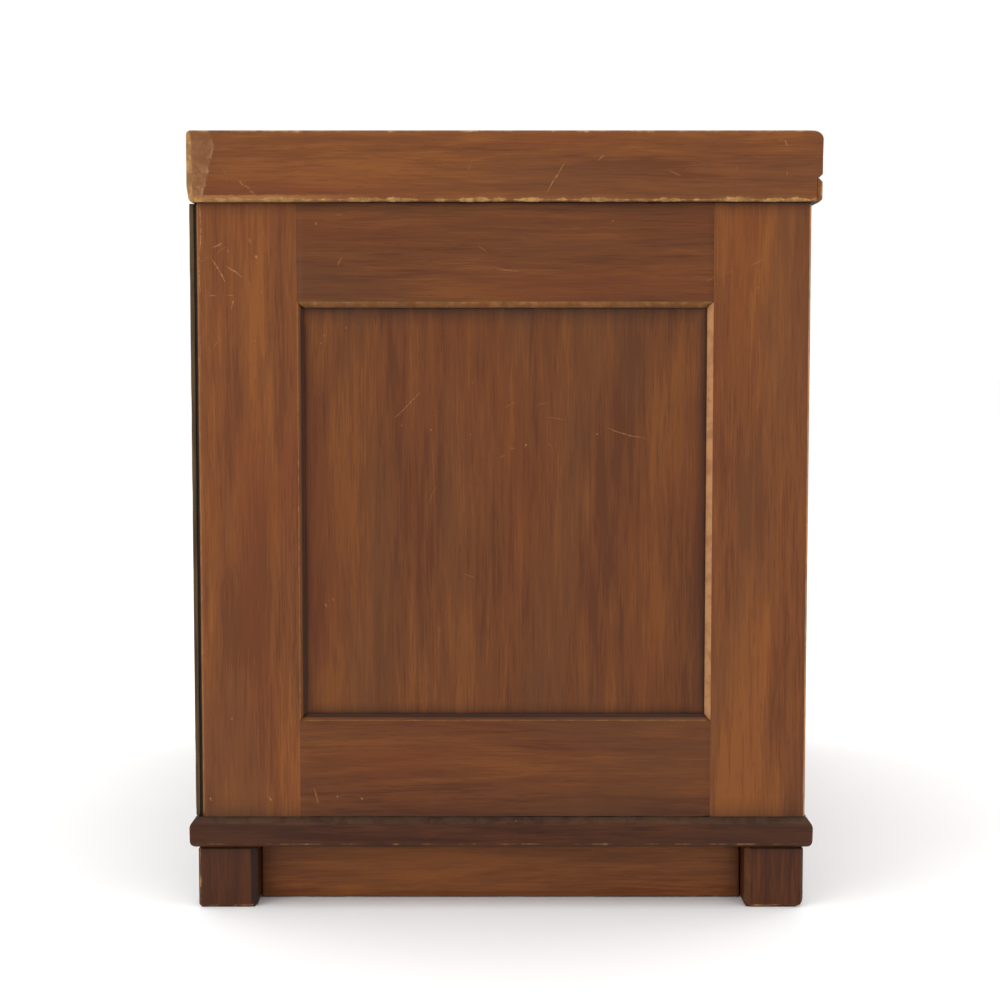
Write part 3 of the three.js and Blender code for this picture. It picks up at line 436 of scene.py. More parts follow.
def add_piece(name, mesh, body, material, node=None):
    piece = bpy.data.objects.new(name, mesh)
    scene.collection.objects.link(piece)
    mesh.materials.clear()
    mesh.materials.append(material)
    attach(piece, body)
    if node:
        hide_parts(node)
    return piece


def smooth_mesh(bm, name, angle=40):
    """A bmesh's mesh, smooth but for its arrises."""
    mesh = bpy.data.meshes.new(name)
    bm.to_mesh(mesh)
    bm.free()
    mesh.shade_smooth()
    mesh.set_sharp_from_angle(angle=math.radians(angle))
    return mesh


def keep_flats(piece):
    """Keeps flat faces flat beside rounded arrises."""
    piece.modifiers.new("flat faces", "WEIGHTED_NORMAL").keep_sharp = True


def solid_of(node):
    """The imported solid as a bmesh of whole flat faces."""
    bm = bmesh.new()
    bm.from_mesh(frame["nodes"][node].data)
    bmesh.ops.remove_doubles(bm, verts=bm.verts, dist=WELD)
    bmesh.ops.dissolve_limit(bm, angle_limit=math.radians(0.6), verts=bm.verts, edges=bm.edges)
    bmesh.ops.recalc_face_normals(bm, faces=bm.faces)
    return bm


def round_arrises(bm, radius, segments, seams=()):
    """Rounds the straight outer arrises, apart from those where another board meets flush."""
    arrises = []
    for edge in bm.edges:
        if not edge.is_manifold or edge.calc_face_angle_signed() < math.radians(32):
            continue
        one, two = (vert.co for vert in edge.verts)
        straight = max(abs(c) for c in (two - one).normalized()) > 0.98
        flush = any(max(abs(one[axis] - at), abs(two[axis] - at)) < PLAY for axis, at in seams)
        if straight and not flush:
            arrises.append(edge)
    bmesh.ops.bevel(bm, geom=arrises, offset=radius, offset_type="OFFSET", segments=segments,
                    profile=0.5, affect="EDGES", clamp_overlap=True)


def cut(bm, point, normal, weld, **settings):
    """Cuts everything along a plane."""
    geometry = bm.verts[:] + bm.edges[:] + bm.faces[:]
    return bmesh.ops.bisect_plane(bm, geom=geometry, dist=weld, plane_co=point, plane_no=normal,
                                  **settings)


def slice_along(bm, axis, places):
    for place in places:
        cut(bm, AXES[axis] * place, AXES[axis], CUT_WELD)


def mark_chamfers(bm):
    """Marks the broad slanting faces, which are the worked chamfers."""
    upright, broad = 0.93, 3e-4  # the most that one axis may count for, and the least area in m2
    layer = bm.faces.layers.int.new("slanted")
    for face in bm.faces:
        face[layer] = max(abs(c) for c in face.normal) < upright and face.calc_area() > broad
    return layer


def side_limit(side, lo, hi):
    """The axis of a side such as "-x", and where the box ends on it."""
    axis, end = SIDES[side]
    return axis, (lo, hi)[end][axis]


def soil_and_shade(bm, slanted, lo, hi, darkening, outer, opening, chamfer):
    """Gives every face's corners their dirt and painted shade, and the worked chamfers how bare
    they are.

    chamfer holds the bareness at the chamfer's outer and inner arris, from -1, black with dirt and
    painted shade, to 1 and above, where it also turns paler as painted highlight. The narrow walls
    between a chamfer and its panel, on the opening's side, get darker the deeper they go, as
    painted shade in the recess.
    """
    darkening_layer = bm.loops.layers.float.new("dirt_and_shade")
    chamfer_layer = bm.loops.layers.float.new("chamfer")
    for face in bm.faces:
        centre = face.calc_center_median()
        wall = False
        if opening:
            axis, limit = side_limit(opening, lo, hi)
            wall = abs(face.normal[axis]) > 0.98 and abs(centre[axis] - limit) < 0.5 * MM
        for loop in face.loops:
            spot = loop.vert.co
            depth = 0.0
            if outer:
                axis, limit = side_limit(outer, lo, hi)
                depth = min(1.7, abs(spot[axis] - limit) / CHAMFER)
            loop[darkening_layer] = darkening_at(spot, darkening)
            # Painted shade on the recess walls beside a panel, darker the deeper they go.
            if wall:
                loop[darkening_layer] = max(loop[darkening_layer], 0.95 * (depth - 0.7))
            if face[slanted]:
                loop[chamfer_layer] = chamfer[0] + (chamfer[1] - chamfer[0]) * min(1.0, depth)


def darkening_at(spot, darkening):
    """How dark a point is painted, with dirt and painted shade: each entry is an axis, a place on
    it, a reach and a strength.
    """
    total = 0.0
    for axis, place, reach, strength in darkening:
        total = max(total, strength * max(0.0, 1.0 - abs(spot[axis] - place) / reach) ** 1.6)
    return total


def board(node, wood, grain, covered="", thin=None, darkening=(), arris=0.9, ragged=0.35, step=12,
          seams=(), outer="", opening="", chamfer=(0.0, 0.0), worn=(), moved=None):
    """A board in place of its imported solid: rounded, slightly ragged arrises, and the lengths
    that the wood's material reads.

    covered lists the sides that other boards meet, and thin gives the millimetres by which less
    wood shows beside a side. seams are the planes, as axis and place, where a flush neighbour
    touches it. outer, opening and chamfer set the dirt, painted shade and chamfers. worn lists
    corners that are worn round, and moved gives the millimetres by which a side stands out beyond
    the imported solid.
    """
    lo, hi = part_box(node)
    bm = solid_of(node)
    for corner in worn:
        wear_round(bm, *corner)
    round_arrises(bm, arris * MM, 2, seams)
    slanted = mark_chamfers(bm)
    for axis in range(3):
        slice_along(bm, axis, cutting_places(axis, lo, hi, grain, step, darkening))
    soil_and_shade(bm, slanted, lo, hi, darkening, outer, opening, chamfer)
    bm.faces.layers.int.remove(slanted)
    measure(bm, node, lo, hi, grain, covered, thin or {}, ragged)
    for vert in bm.verts:
        for axis, at in seams:
            if abs(vert.co[axis] - at) < PLAY:
                vert.co[axis] = at
    for side, amount in (moved or {}).items():
        axis, limit = side_limit(side, lo, hi)
        for vert in bm.verts:
            if abs(vert.co[axis] - limit) < NEAR_SIDE:
                vert.co[axis] += amount * MM * (1 if side[0] == "+" else -1)
    name = node + "_board"
    mesh = smooth_mesh(bm, name)
    keep_flats(add_piece(name, mesh, body_of[node], wood_of[wood], node))


def cutting_places(axis, lo, hi, grain, step, darkening):
    """Where a board is sliced across an axis, so that what its points hold can vary: in steps
    along the grain, beside the sides, and through the bands of dirt and painted shade."""
    size = hi[axis] - lo[axis]
    places = []
    if "xyz"[axis] == grain:
        count = max(2, round(size / (step * MM)))
        places = [lo[axis] + size * i / count for i in range(1, count)]
    elif size > 12 * MM:
        places = [lo[axis] + 4 * MM, hi[axis] - 4 * MM]
    places += [place + side * share * reach
               for along, place, reach, _ in darkening if along == axis
               for side in (-1, 1) for share in (0.0, 0.25, 0.5, 1.0)]
    margin = 0.1 * MM
    low, high = lo[axis] + margin, hi[axis] - margin
    return sorted({round(place, 5) for place in places if low < place < high})


def measure(bm, node, lo, hi, grain, covered, thin, ragged):
    """Stores each point's distances from the board's sides and its place in the grain, and
    makes the arrises slightly ragged."""
    layers = bm.verts.layers
    to_low = layers.float_vector.new("to_low")
    to_high = layers.float_vector.new("to_high")
    grain_layer = layers.float_vector.new("grain")
    extra = [[0.0, 0.0] for _ in range(3)]
    for side in covered.split():
        axis, end = SIDES[side]
        extra[axis][end] = COVERED
    for side, amount in thin.items():
        axis, end = SIDES[side]
        extra[axis][end] = amount * MM
    rng = random.Random(node)
    offset = Vector([rng.uniform(-5, 5) for _ in range(3)])
    order = {"x": (1, 2, 0), "y": (0, 2, 1), "z": (0, 1, 2)}[grain]
    for vert in bm.verts:
        spot = vert.co.copy()
        near = [spot[i] - lo[i] for i in range(3)]
        far = [hi[i] - spot[i] for i in range(3)]
        vert[to_low] = [near[i] + extra[i][0] for i in range(3)]
        vert[to_high] = [far[i] + extra[i][1] for i in range(3)]
        vert[grain_layer] = Vector([spot[i] for i in order]) + offset
        inward = Vector([(n < ARRIS_REACH) - (f < ARRIS_REACH) for n, f in zip(near, far)])
        if sum(abs(c) for c in inward) >= 2:
            bite = max(0.0, noise.noise(spot * 55 + offset) + 0.25 * noise.noise(spot * 240))
            vert.co += inward.normalized() * bite * ragged * 2 * MM


def wear_round(bm, corner, into, radius):
    """Cuts an edge along X back to a round, by planes round a centre that lies in the wood."""
    centre = Vector(corner) + Vector(into) * radius
    for degrees in (15, 35, 55, 75):
        at = math.radians(degrees)
        way = Vector((0, -into[1] * math.cos(at), -into[2] * math.sin(at)))
        made = cut(bm, centre + way * radius, way, 1e-6, clear_outer=True)
        rim = [item for item in made["geom_cut"] if isinstance(item, bmesh.types.BMEdge)]
        bmesh.ops.contextual_create(bm, geom=rim)


bodies = frame["record"]["behaviour"]["bodies"]
body_of = {node: body for body, nodes in bodies.items() for node in nodes}

case_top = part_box("end_left_stile_back")[1].z
case_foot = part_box("end_left_stile_back")[0].z
# Bands darkened under the lid and above the base: grime, and painted shade under the lid's overhang
# and towards the case's foot.
SHADE_AND_GRIME_UNDER_LID = (2, case_top, 13 * MM, 0.42)
SHADE_AND_GRIME_OVER_BASE = (2, case_foot, 20 * MM, 0.46)
SUNK = 0.65  # millimetres that the old lid has sunk onto the case

# How bare the chamfer round a panel is, at its outer and inner arris, on each of its four sides:
# LIT is painted pale as painted highlight, on the chamfer that faces the key light, and SHADED
# painted black as painted shade, on the one turned from it.
LIT, SHADED, ABOVE, BELOW = (1.8, 1.2), (0.55, -1.0), (0.5, 0.3), (0.5, -1.0)


def end_frames():
    for side, outer in (("left", "-x"), ("right", "+x")):
        inner = "+x" if outer == "-x" else "-x"
        rail_lo, rail_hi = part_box(f"end_{side}_rail_top")
        shoulders = {
            "front": (1, rail_lo.y + TENON - CHAMFER + PLAY / 2),
            "back": (1, rail_hi.y - TENON + CHAMFER - PLAY / 2),
        }
        for end, corner, joint, chamfer, rubbed in (
            ("back", "+y", "-y", SHADED, 0.2),
            ("front", "-y", "+y", LIT, 2.0),
        ):
            node = f"end_{side}_stile_{end}"
            axis, place = side_limit(corner, *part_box(node))
            grime = []
            if end == "front":
                grime = [(axis, place, 7 * MM, 0.34), (1, shoulders[end][1], 14 * MM, 0.14)]
            board(node, "frame", "z", f"{inner} {joint} -z +z", {corner: rubbed},
                  [SHADE_AND_GRIME_UNDER_LID, SHADE_AND_GRIME_OVER_BASE, *grime], seams=(shoulders[end],), outer=outer,
                  opening=joint, chamfer=chamfer)
        for rail, near, joint, chamfer in (
            ("top", SHADE_AND_GRIME_UNDER_LID, "-z", ABOVE),
            ("bottom", SHADE_AND_GRIME_OVER_BASE, "+z", BELOW),
        ):
            board(f"end_{side}_rail_{rail}", "rail", "y", f"{inner} -y +y -z +z", {}, (near,),
                  seams=tuple(shoulders.values()), outer=outer, opening=joint, chamfer=chamfer)
        panel(f"end_{side}_panel", 1)


def panel(node, across):
    """A panel, darkened all round where it goes into its frame, with dirt and painted shade."""
    lo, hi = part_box(node)
    tongue = 8 * MM
    # Dirt and painted shade in the recess round the panel.
    darkening = [
        (across, lo[across] + tongue, 12 * MM, 0.75),
        (across, hi[across] - tongue, 8 * MM, 0.5),
        (2, lo.z + tongue, 11 * MM, 0.55),
        (2, hi.z - tongue, 17 * MM, 0.75),
    ]
    board(node, "panel", "z", "-x +x -y +y -z +z", {}, darkening)


def front_frame():
    rail_lo, rail_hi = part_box("front_rail_top")
    shoulders = {
        "left": (0, rail_lo.x + TENON - CHAMFER + PLAY / 2),
        "right": (0, rail_hi.x - TENON + CHAMFER - PLAY / 2),
    }
    for side, joint, chamfer in (("left", "+x", SHADED), ("right", "-x", LIT)):
        board(f"front_stile_{side}", "frame", "z", "-x +x +y -z +z", {}, (SHADE_AND_GRIME_UNDER_LID, SHADE_AND_GRIME_OVER_BASE),
              seams=(shoulders[side],), outer="-y", opening=joint, chamfer=chamfer)
        panel(f"front_panel_{side}", 0)
    for rail, near, joint, chamfer in (
        ("top", SHADE_AND_GRIME_UNDER_LID, "-z", ABOVE),
        ("bottom", SHADE_AND_GRIME_OVER_BASE, "+z", BELOW),
    ):
        board(f"front_rail_{rail}", "rail", "x", "-x +x +y -z +z", {}, (near,),
              seams=tuple(shoulders.values()), outer="-y", opening=joint, chamfer=chamfer)
    edges = [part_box("front_rail_bottom")[1].z - CHAMFER, rail_lo.z + CHAMFER]
    board("front_mullion", "frame", "z", "-x +x +y -z +z", seams=[(2, edge) for edge in edges],
          outer="-y", chamfer=(0.5, 0.0))


def back_of_case():
    for i in (1, 2, 3):
        lo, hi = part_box(f"back_board_{i}")
        joints = [(0, lo.x, 7 * MM, 0.1 if i == 1 else 0.85),
                  (0, hi.x, 7 * MM, 0.1 if i == 3 else 0.85)]
        board(f"back_board_{i}", "back", "z", "-y -z +z", {}, [SHADE_AND_GRIME_UNDER_LID, SHADE_AND_GRIME_OVER_BASE, *joints],
              arris=0.6)
    for rail in ("top", "bottom"):
        board(f"back_rail_{rail}", "back", "x", "-x +x -y -z +z", step=60)


def base():
    for side, grain in (("front", "x"), ("back", "x"), ("left", "y"), ("right", "y")):
        # Dark along its top where the case stands on it: dirt and painted shade in the joint.
        board(f"base_frame_{side}", "base", grain, "", {"-z": -2.8},
              ((2, case_foot, 5.5 * MM, 1.0),), arris=0.5, ragged=0.3)
    foot_top, tray_rim = 57 * MM, 56 * MM
    for end, corner, into, worn_by in (("front", "-y", 1, 9 * MM), ("back", "+y", -1, 4 * MM)):
        for side in ("left", "right"):
            node = f"foot_{end}_{side}"
            outside = side_limit(corner, *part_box(node))[1]
            # Darker at the top, under the base: dirt and painted shade. The back feet's chamfers,
            # turned from the key light, are painted dark as painted shade.
            board(node, "feet", "z", "+z", {corner: 1.0 if end == "front" else -0.8, "-z": -0.9},
                  ((2, foot_top, 9 * MM, 0.5),), arris=1.0, ragged=0.5, step=6,
                  chamfer=(0.22, 0.22) if end == "front" else (-0.4, -0.4),
                  worn=(((0, outside, 0), (0, into, 1), worn_by),))
    for side, grain in (("left", "y"), ("right", "y"), ("back", "x")):
        ends = "-y +y" if grain == "y" else "-x +x"
        lo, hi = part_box(f"apron_{side}")
        axis = "xy".index(grain)
        # Darker at the top, under the base, and at the ends beside the feet: dirt and painted
        # shade.
        darkening = (
            (2, hi.z, 9 * MM, 0.35),
            (axis, lo[axis], 16 * MM, 0.45),
            (axis, hi[axis], 16 * MM, 0.45),
        )
        board(f"apron_{side}", "apron", grain, f"{ends} +z", {}, darkening)
    # Darker along its top, under the base: dirt and painted shade.
    board("drip_tray_front", "apron", "x", "", {"+z": 1}, ((2, tray_rim, 10 * MM, 0.4),))
    board("case_bottom", "back", "x", "", step=60)
    for side in ("left", "right"):
        board(f"drip_runner_{side}", "back", "y", "", step=60)


def lid():
    # Grime, and painted shade over the gap to the case, along the lid's lower edge.
    grime_and_gap_shade = ((2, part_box("lid_front")[0].z, 1.4 * MM, 0.9),)
    for side, inner in (("left", "+x"), ("right", "-x")):
        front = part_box(f"lid_end_{side}")[0].y
        board(f"lid_end_{side}", "lid", "y", f"{inner} -y", {"+z": 0.4, "+y": -3.2, "-z": -1.4},
              grime_and_gap_shade, arris=0.8, ragged=0.22, step=8, seams=((1, front),),
              moved={"-z": SUNK, "-x" if side == "left" else "+x": -SET_BACK})
    board("lid_front", "lid", "x", "+y", {"+z": 2.4, "-x": 0.6, "+x": 0.6, "-z": 0.5}, grime_and_gap_shade,
          arris=0.6, ragged=0.2, moved={"-z": SUNK, "-x": -SET_BACK, "+x": -SET_BACK})
    board("lid_back", "lid", "x", "-x +x -y", {"+z": 1.5}, grime_and_gap_shade, arris=0.8, ragged=0.22,
          moved={"-z": SUNK})
    board("lid_top", "lid", "x", "", {side: 1.2 for side in ("-x", "+x", "-y", "+y")})


def inside_wood():
    board("ice_rack", "bare", "x", step=40, arris=1.2)
    board("provision_tray", "bare", "y", step=40, arris=1.2)
    for side in ("front", "back"):
        board(f"tray_ledge_{side}", "bare", "x", step=40)


def plain_nodes():
    """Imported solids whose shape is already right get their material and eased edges."""
    for node, material, width in (
        ("liner", zinc, 0.5),
        ("lid_pan", zinc, 0.4),
        ("drip_tray", galvanised, 0.5),
        ("insulation_fill", fill, 1.0),
        ("lid_insulation", fill, 1.0),
        ("lid_gasket", felt, 0.6),
        ("drain_tube", brass, 0.4),
    ):
        cad = frame["nodes"][node]
        cad.data.materials.clear()
        cad.data.materials.append(material)
        eased = cad.modifiers.new("eased edges", "BEVEL")
        eased.width = width * MM
        eased.segments = 2
        eased.limit_method = "ANGLE"
        eased.angle_limit = math.radians(40)


# ---- brass


def metal_piece(name, bm, body, node=None, material=None, angle=40):
    bmesh.ops.recalc_face_normals(bm, faces=bm.faces)
    return add_piece(name, smooth_mesh(bm, name, angle), body, material or brass, node)


def bevelled_node(node, radius):
    """A packed metal solid with its arrises rounded."""
    bm = solid_of(node)
    round_arrises(bm, radius * MM, 3)
    keep_flats(metal_piece(node + "_metal", bm, body_of[node], node))


def skin(bm, rings):
    """Faces between neighbouring rings of vertices, and over open ends. A ring of one vertex is
    a point, to which the ring beside it closes."""
    for low, high in zip(rings, rings[1:]):
        count = max(len(low), len(high))
        for i in range(count):
            j = (i + 1) % count
            corners = [low[i % len(low)], low[j % len(low)]]
            corners += [high[j % len(high)], high[i % len(high)]]
            bm.faces.new(list(dict.fromkeys(corners)))
    for end in (rings[0], rings[-1][::-1]):
        if len(end) > 2:
            bm.faces.new(end)


def add_turned(bm, outline, turns):
    """Turns an outline of (radius, height) points, which starts and ends on Z, about Z."""
    rings = []
    for radius, height in outline:
        angles = [2 * math.pi * i / turns for i in range(turns if radius > 0 else 1)]
        rings.append([bm.verts.new((radius * math.cos(at), radius * math.sin(at), height))
                      for at in angles])
    skin(bm, rings)


def add_head(bm, head, place, outward, angle=0.0):
    """Adds a screw's or nail's head at a place, facing outward."""
    turn = Vector(outward).to_track_quat("Z", "Y").to_matrix().to_4x4()
    head.transform(Matrix.Translation(place) @ turn @ Matrix.Rotation(angle, 4, "Z"))
    mesh = bpy.data.meshes.new("head")
    head.to_mesh(mesh)
    head.free()
    bm.from_mesh(mesh)
    bpy.data.meshes.remove(mesh)


def screw_head(radius):
    """A slightly domed round head with a slot."""
    rise, depth, slot_half, slot_depth = 0.42 * MM, 0.5 * MM, 0.45 * MM, 0.55 * MM
    shares = [i / 5 for i in range(6)]
    dome = [(radius * share, rise * (1 - share * share)) for share in shares]
    dome += [(radius, -depth), (0, -depth)]
    head = bmesh.new()
    add_turned(head, dome[::-1], 24)
    for side in (-slot_half, slot_half):
        cut(head, (0, side, 0), (0, 1, 0), 1e-7)
    for vert in head.verts:
        if abs(vert.co.y) < slot_half - 1e-6 and vert.co.z > -depth / 2:
            vert.co.z -= slot_depth
    return head


def screws(name, body, places, outward, radius):
    bm = bmesh.new()
    rng = random.Random(name)
    for place in places:
        add_head(bm, screw_head(radius), place, outward, rng.uniform(0, math.pi))
    metal_piece(name, bm, body)


def hinges():
    leaf_thickness, knuckle = 2 * MM, 8 * MM
    pattern = ((-27 * MM, 10 * MM), (0, 28 * MM), (27 * MM, 10 * MM))
    for side in ("left", "right"):
        for leaf, upward in (("case", -1), ("lid", 1)):
            node = f"hinge_{side}_{leaf}_leaf"
            bevelled_node(node, 0.35)
            lo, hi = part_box(node)
            middle, face = (lo.x + hi.x) / 2, lo.y + leaf_thickness
            edge = hi.z - knuckle if upward < 0 else lo.z + knuckle
            places = [(middle + dx, face, edge + upward * dz) for dx, dz in pattern]
            screws(f"hinge_{side}_{leaf}_screws", leaf, places, (0, 1, 0), 3.6 * MM)


def lid_pull():
    bevelled_node("lid_pull_plate", 0.5)
    lo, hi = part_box("lid_pull_plate")
    thickness, inset, aside = 2 * MM, 8 * MM, 20 * MM
    face, level = hi.y - thickness, (lo.z + hi.z) / 2
    places = [(x, face, level) for x in (lo.x + inset, -aside, aside, hi.x - inset)]
    screws("lid_pull_screws", "lid", places, (0, -1, 0), 3.2 * MM)
    bail()


def bail():
    """The drop handle: a round bar, bent through both eyes."""
    lo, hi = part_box("lid_pull_bail")
    rod = (hi.y - lo.y) / 2
    y = (lo.y + hi.y) / 2
    top, low, wide = hi.z - rod, lo.z + rod, hi.x - rod
    inner, corner, foot = 38 * MM, 5 * MM, 8 * MM
    path = [(-inner, top)]
    for cx, cz, radius, start in (
        (-wide + corner, top - corner, corner, 90),
        (-wide + foot, low + foot, foot, 180),
        (wide - foot, low + foot, foot, 270),
        (wide - corner, top - corner, corner, 0),
    ):
        for i in range(9):
            at = math.radians(start + 90 * i / 8)
            path.append((cx + radius * math.cos(at), cz + radius * math.sin(at)))
    path.append((inner, top))
    bm = bmesh.new()
    rings = []
    side = Vector((0, 1, 0))
    turns = 20
    for i, (x, z) in enumerate(path):
        before, after = path[max(0, i - 1)], path[min(len(path) - 1, i + 1)]
        way = Vector((after[0] - before[0], 0, after[1] - before[1])).normalized()
        normal = way.cross(side)
        angles = [2 * math.pi * k / turns for k in range(turns)]
        rings.append([
            bm.verts.new(Vector((x, y, z)) + (side * math.cos(at) + normal * math.sin(at)) * rod)
            for at in angles
        ])
    skin(bm, rings)
    metal_piece("lid_pull_handle", bm, "lid_pull", "lid_pull_bail")


def knob():
    """The drip tray's turned knob."""
    lo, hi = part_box("drip_tray_knob")
    length = hi.y - lo.y
    radius = (hi.x - lo.x) / 2
    outline = [(0, 0), (0.74, 0), (0.78, 0.03), (0.76, 0.09), (0.62, 0.12), (0.44, 0.17),
               (0.37, 0.27), (0.38, 0.38), (0.55, 0.46), (0.86, 0.53), (0.98, 0.61), (1, 0.68),
               (0.97, 0.77), (0.86, 0.86), (0.66, 0.93), (0.4, 0.98), (0, 1)]
    bm = bmesh.new()
    add_turned(bm, [(r * radius, h * length) for r, h in outline], 40)
    foot = Matrix.Translation((0, hi.y, (lo.z + hi.z) / 2))
    bm.transform(foot @ Matrix.Rotation(math.pi / 2, 4, "X"))
    metal_piece("drip_knob", bm, "drip_drawer", "drip_tray_knob", angle=60)


# ---- nails, seams and lining


def nail_heads(name, places, outward, radius, material):
    bm = bmesh.new()
    depth, rim, rise = 0.3 * MM, 0.15 * MM, 0.5 * MM
    outline = [(0, -depth), (radius, -depth), (radius, rim), (radius * 0.7, 0.4 * MM), (0, rise)]
    for place in places:
        head = bmesh.new()
        add_turned(head, outline, 12)
        add_head(bm, head, place, outward)
    metal_piece(name, bm, "case", material=material)


def back_nails():
    """Two rows of nails in each back board."""
    steel = sheet_zinc("nail steel", (96, 88, 80), 0.7)
    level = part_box("back_board_1")[1].y - 0.1 * MM
    rows, count = (case_foot + 25 * MM, case_top - 30 * MM), 5
    places = []
    for i in (1, 2, 3):
        left, right = [corner.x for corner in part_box(f"back_board_{i}")]
        places += [(left + (right - left) * (k + 0.5) / count, level, row)
                   for row in rows for k in range(count)]
    nail_heads("back_nails", places, (0, 1, 0), 2.2 * MM, steel)


def lining_sheet():
    """The lining paper behind the back boards, which fills the gap to the frame; it is near black
    and also stands as painted shade in that crevice.
    """
    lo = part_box("back_board_1")[0]
    frame_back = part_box("back_rail_top")[1].y
    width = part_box("back_board_3")[1].x - lo.x
    size = Vector((width - 3 * MM, lo.y - frame_back - 0.4 * MM, case_top - case_foot - 0.4 * MM))
    centre = Vector((0, (lo.y + frame_back) / 2, (case_top + case_foot) / 2))
    bm = bmesh.new()
    bmesh.ops.create_cube(bm, size=1)
    bm.transform(Matrix.Translation(centre) @ Matrix.Diagonal((*size, 1)))
    for axis, steps in ((0, 24), (2, 18)):
        low = centre[axis] - size[axis] / 2
        slice_along(bm, axis, [low + size[axis] * i / steps for i in range(1, steps)])
    for vert in bm.verts:
        vert.co.y += 0.12 * MM * noise.noise(vert.co * 14)
    metal_piece("back_lining_paper", bm, "case", material=lining_paper_as_shade)


def liner_nails():
    """Nails through the liner's flange."""
    lo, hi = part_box("liner")
    inset = 14 * MM
    level = hi.z - 0.1 * MM
    places = []
    for k in range(12):
        x = lo.x + inset + (hi.x - lo.x - 2 * inset) * k / 11
        places += [(x, lo.y + inset, level), (x, hi.y - inset, level)]
    for k in range(1, 7):
        y = lo.y + inset + (hi.y - lo.y - 2 * inset) * k / 7
        places += [(lo.x + inset, y, level), (hi.x - inset, y, level)]
    nail_heads("liner_nails", places, (0, 0, 1), 1.8 * MM, zinc)


def add_fillet(bm, start, end, first, second):
    """A strip of solder with a hollow face, between two walls that face first and second."""
    leg = 2.2 * MM
    rings = []
    count = max(2, round((end - start).length / (20 * MM)))
    for i in range(count + 1):
        spot = start.lerp(end, i / count)
        swell = 1 + 0.35 * noise.noise(spot * 90)
        ring = [spot]
        for k in range(5):
            a = math.pi / 2 * k / 4
            hollow = first * (1 - math.sin(a)) + second * (1 - math.cos(a))
            ring.append(spot + hollow * leg * swell)
        rings.append([bm.verts.new(point) for point in ring])
    skin(bm, rings)


def liner_seams():
    """Soldered seams in the liner's four upright corners and round its floor."""
    gap_x, gap_y, gap_z = 9 * MM, 8 * MM, 0.3 * MM  # from the rack to the liner
    lo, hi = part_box("ice_rack")
    wall_x, wall_y = hi.x + gap_x, (lo.y - gap_y, hi.y + gap_y)
    floor, top = lo.z - gap_z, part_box("liner")[1].z - 4 * MM
    up = Vector((0, 0, 1))
    bm = bmesh.new()
    for sx in (-1, 1):
        x, inward = sx * wall_x, Vector((-sx, 0, 0))
        for y, sy in zip(wall_y, (1, -1)):
            add_fillet(bm, Vector((x, y, floor)), Vector((x, y, top)), inward, Vector((0, sy, 0)))
        add_fillet(bm, *[Vector((x, y, floor)) for y in wall_y], inward, up)
    for y, sy in zip(wall_y, (1, -1)):
        ends = [Vector((x, y, floor)) for x in (-wall_x, wall_x)]
        add_fillet(bm, *ends, Vector((0, sy, 0)), up)
    metal_piece("liner_seams", bm, "case", material=zinc)


# ---- scratches on the left end

# Each scratch on the left end: the Y and Z of its two ends and its width in millimetres, and how
# pale it is, from 0 to 1.
FRAME_SCRATCHES = [
    # a star of cuts near the top of the back stile, with a few strokes round it
    (267, 607, 258, 611, 1.6, 0.42),
    (263, 602, 255, 608, 1.2, 0.25),
    (278, 594, 268, 600, 1.1, 0.25),
    (269, 598, 256, 576, 1.7, 0.5),
    (255, 590, 240, 580, 1.8, 0.42),
    (240, 580, 233, 573, 1.1, 0.25),
    (272, 564, 264, 564, 1.4, 0.3),
    (255, 564, 248, 564, 1.4, 0.3),
    (248, 562, 251, 552, 1.5, 0.32),
    (261, 526, 268, 516, 1.1, 0.25),
    # dents in the same stile
    (254, 605, 253, 603, 2.2, 0.35),
    (234, 615, 233, 611, 2.2, 0.4),
    (228, 600, 227, 597, 2.4, 0.5),
    (227, 594, 227, 591, 2.0, 0.35),
    (224, 568, 223, 566, 1.8, 0.3),
    (229, 525, 229, 521, 1.5, 0.3),
    (275, 103, 274, 100, 2.0, 0.4),
    (220, 104, 218, 100, 1.8, 0.4),
    # pale strokes along its back arris
    (278.4, 646, 278.6, 604, 1.6, 0.55),
    (278.6, 604, 278.4, 566, 1.3, 0.45),
    (278.4, 530, 278.6, 490, 1.0, 0.2),
    # the rails
    (150, 599, 154, 591, 1.2, 0.3),
    (158, 636, 148, 636, 1.0, 0.2),
    (174, 630, 173, 627, 2.0, 0.3),
    (14, 589, -11, 586, 1.2, 0.25),
    (27, 608, 19, 603, 1.0, 0.2),
    (179, 112, 175, 98, 2.4, 0.2),
    (158, 105, 157, 103, 1.8, 0.3),
    (136, 103, 134, 101, 1.8, 0.3),
    # the front stile
    (-180, 577, -186, 580, 1.0, 0.2),
    (-193, 582, -202, 586, 1.1, 0.25),
    (-220, 591, -233, 597, 1.2, 0.28),
]
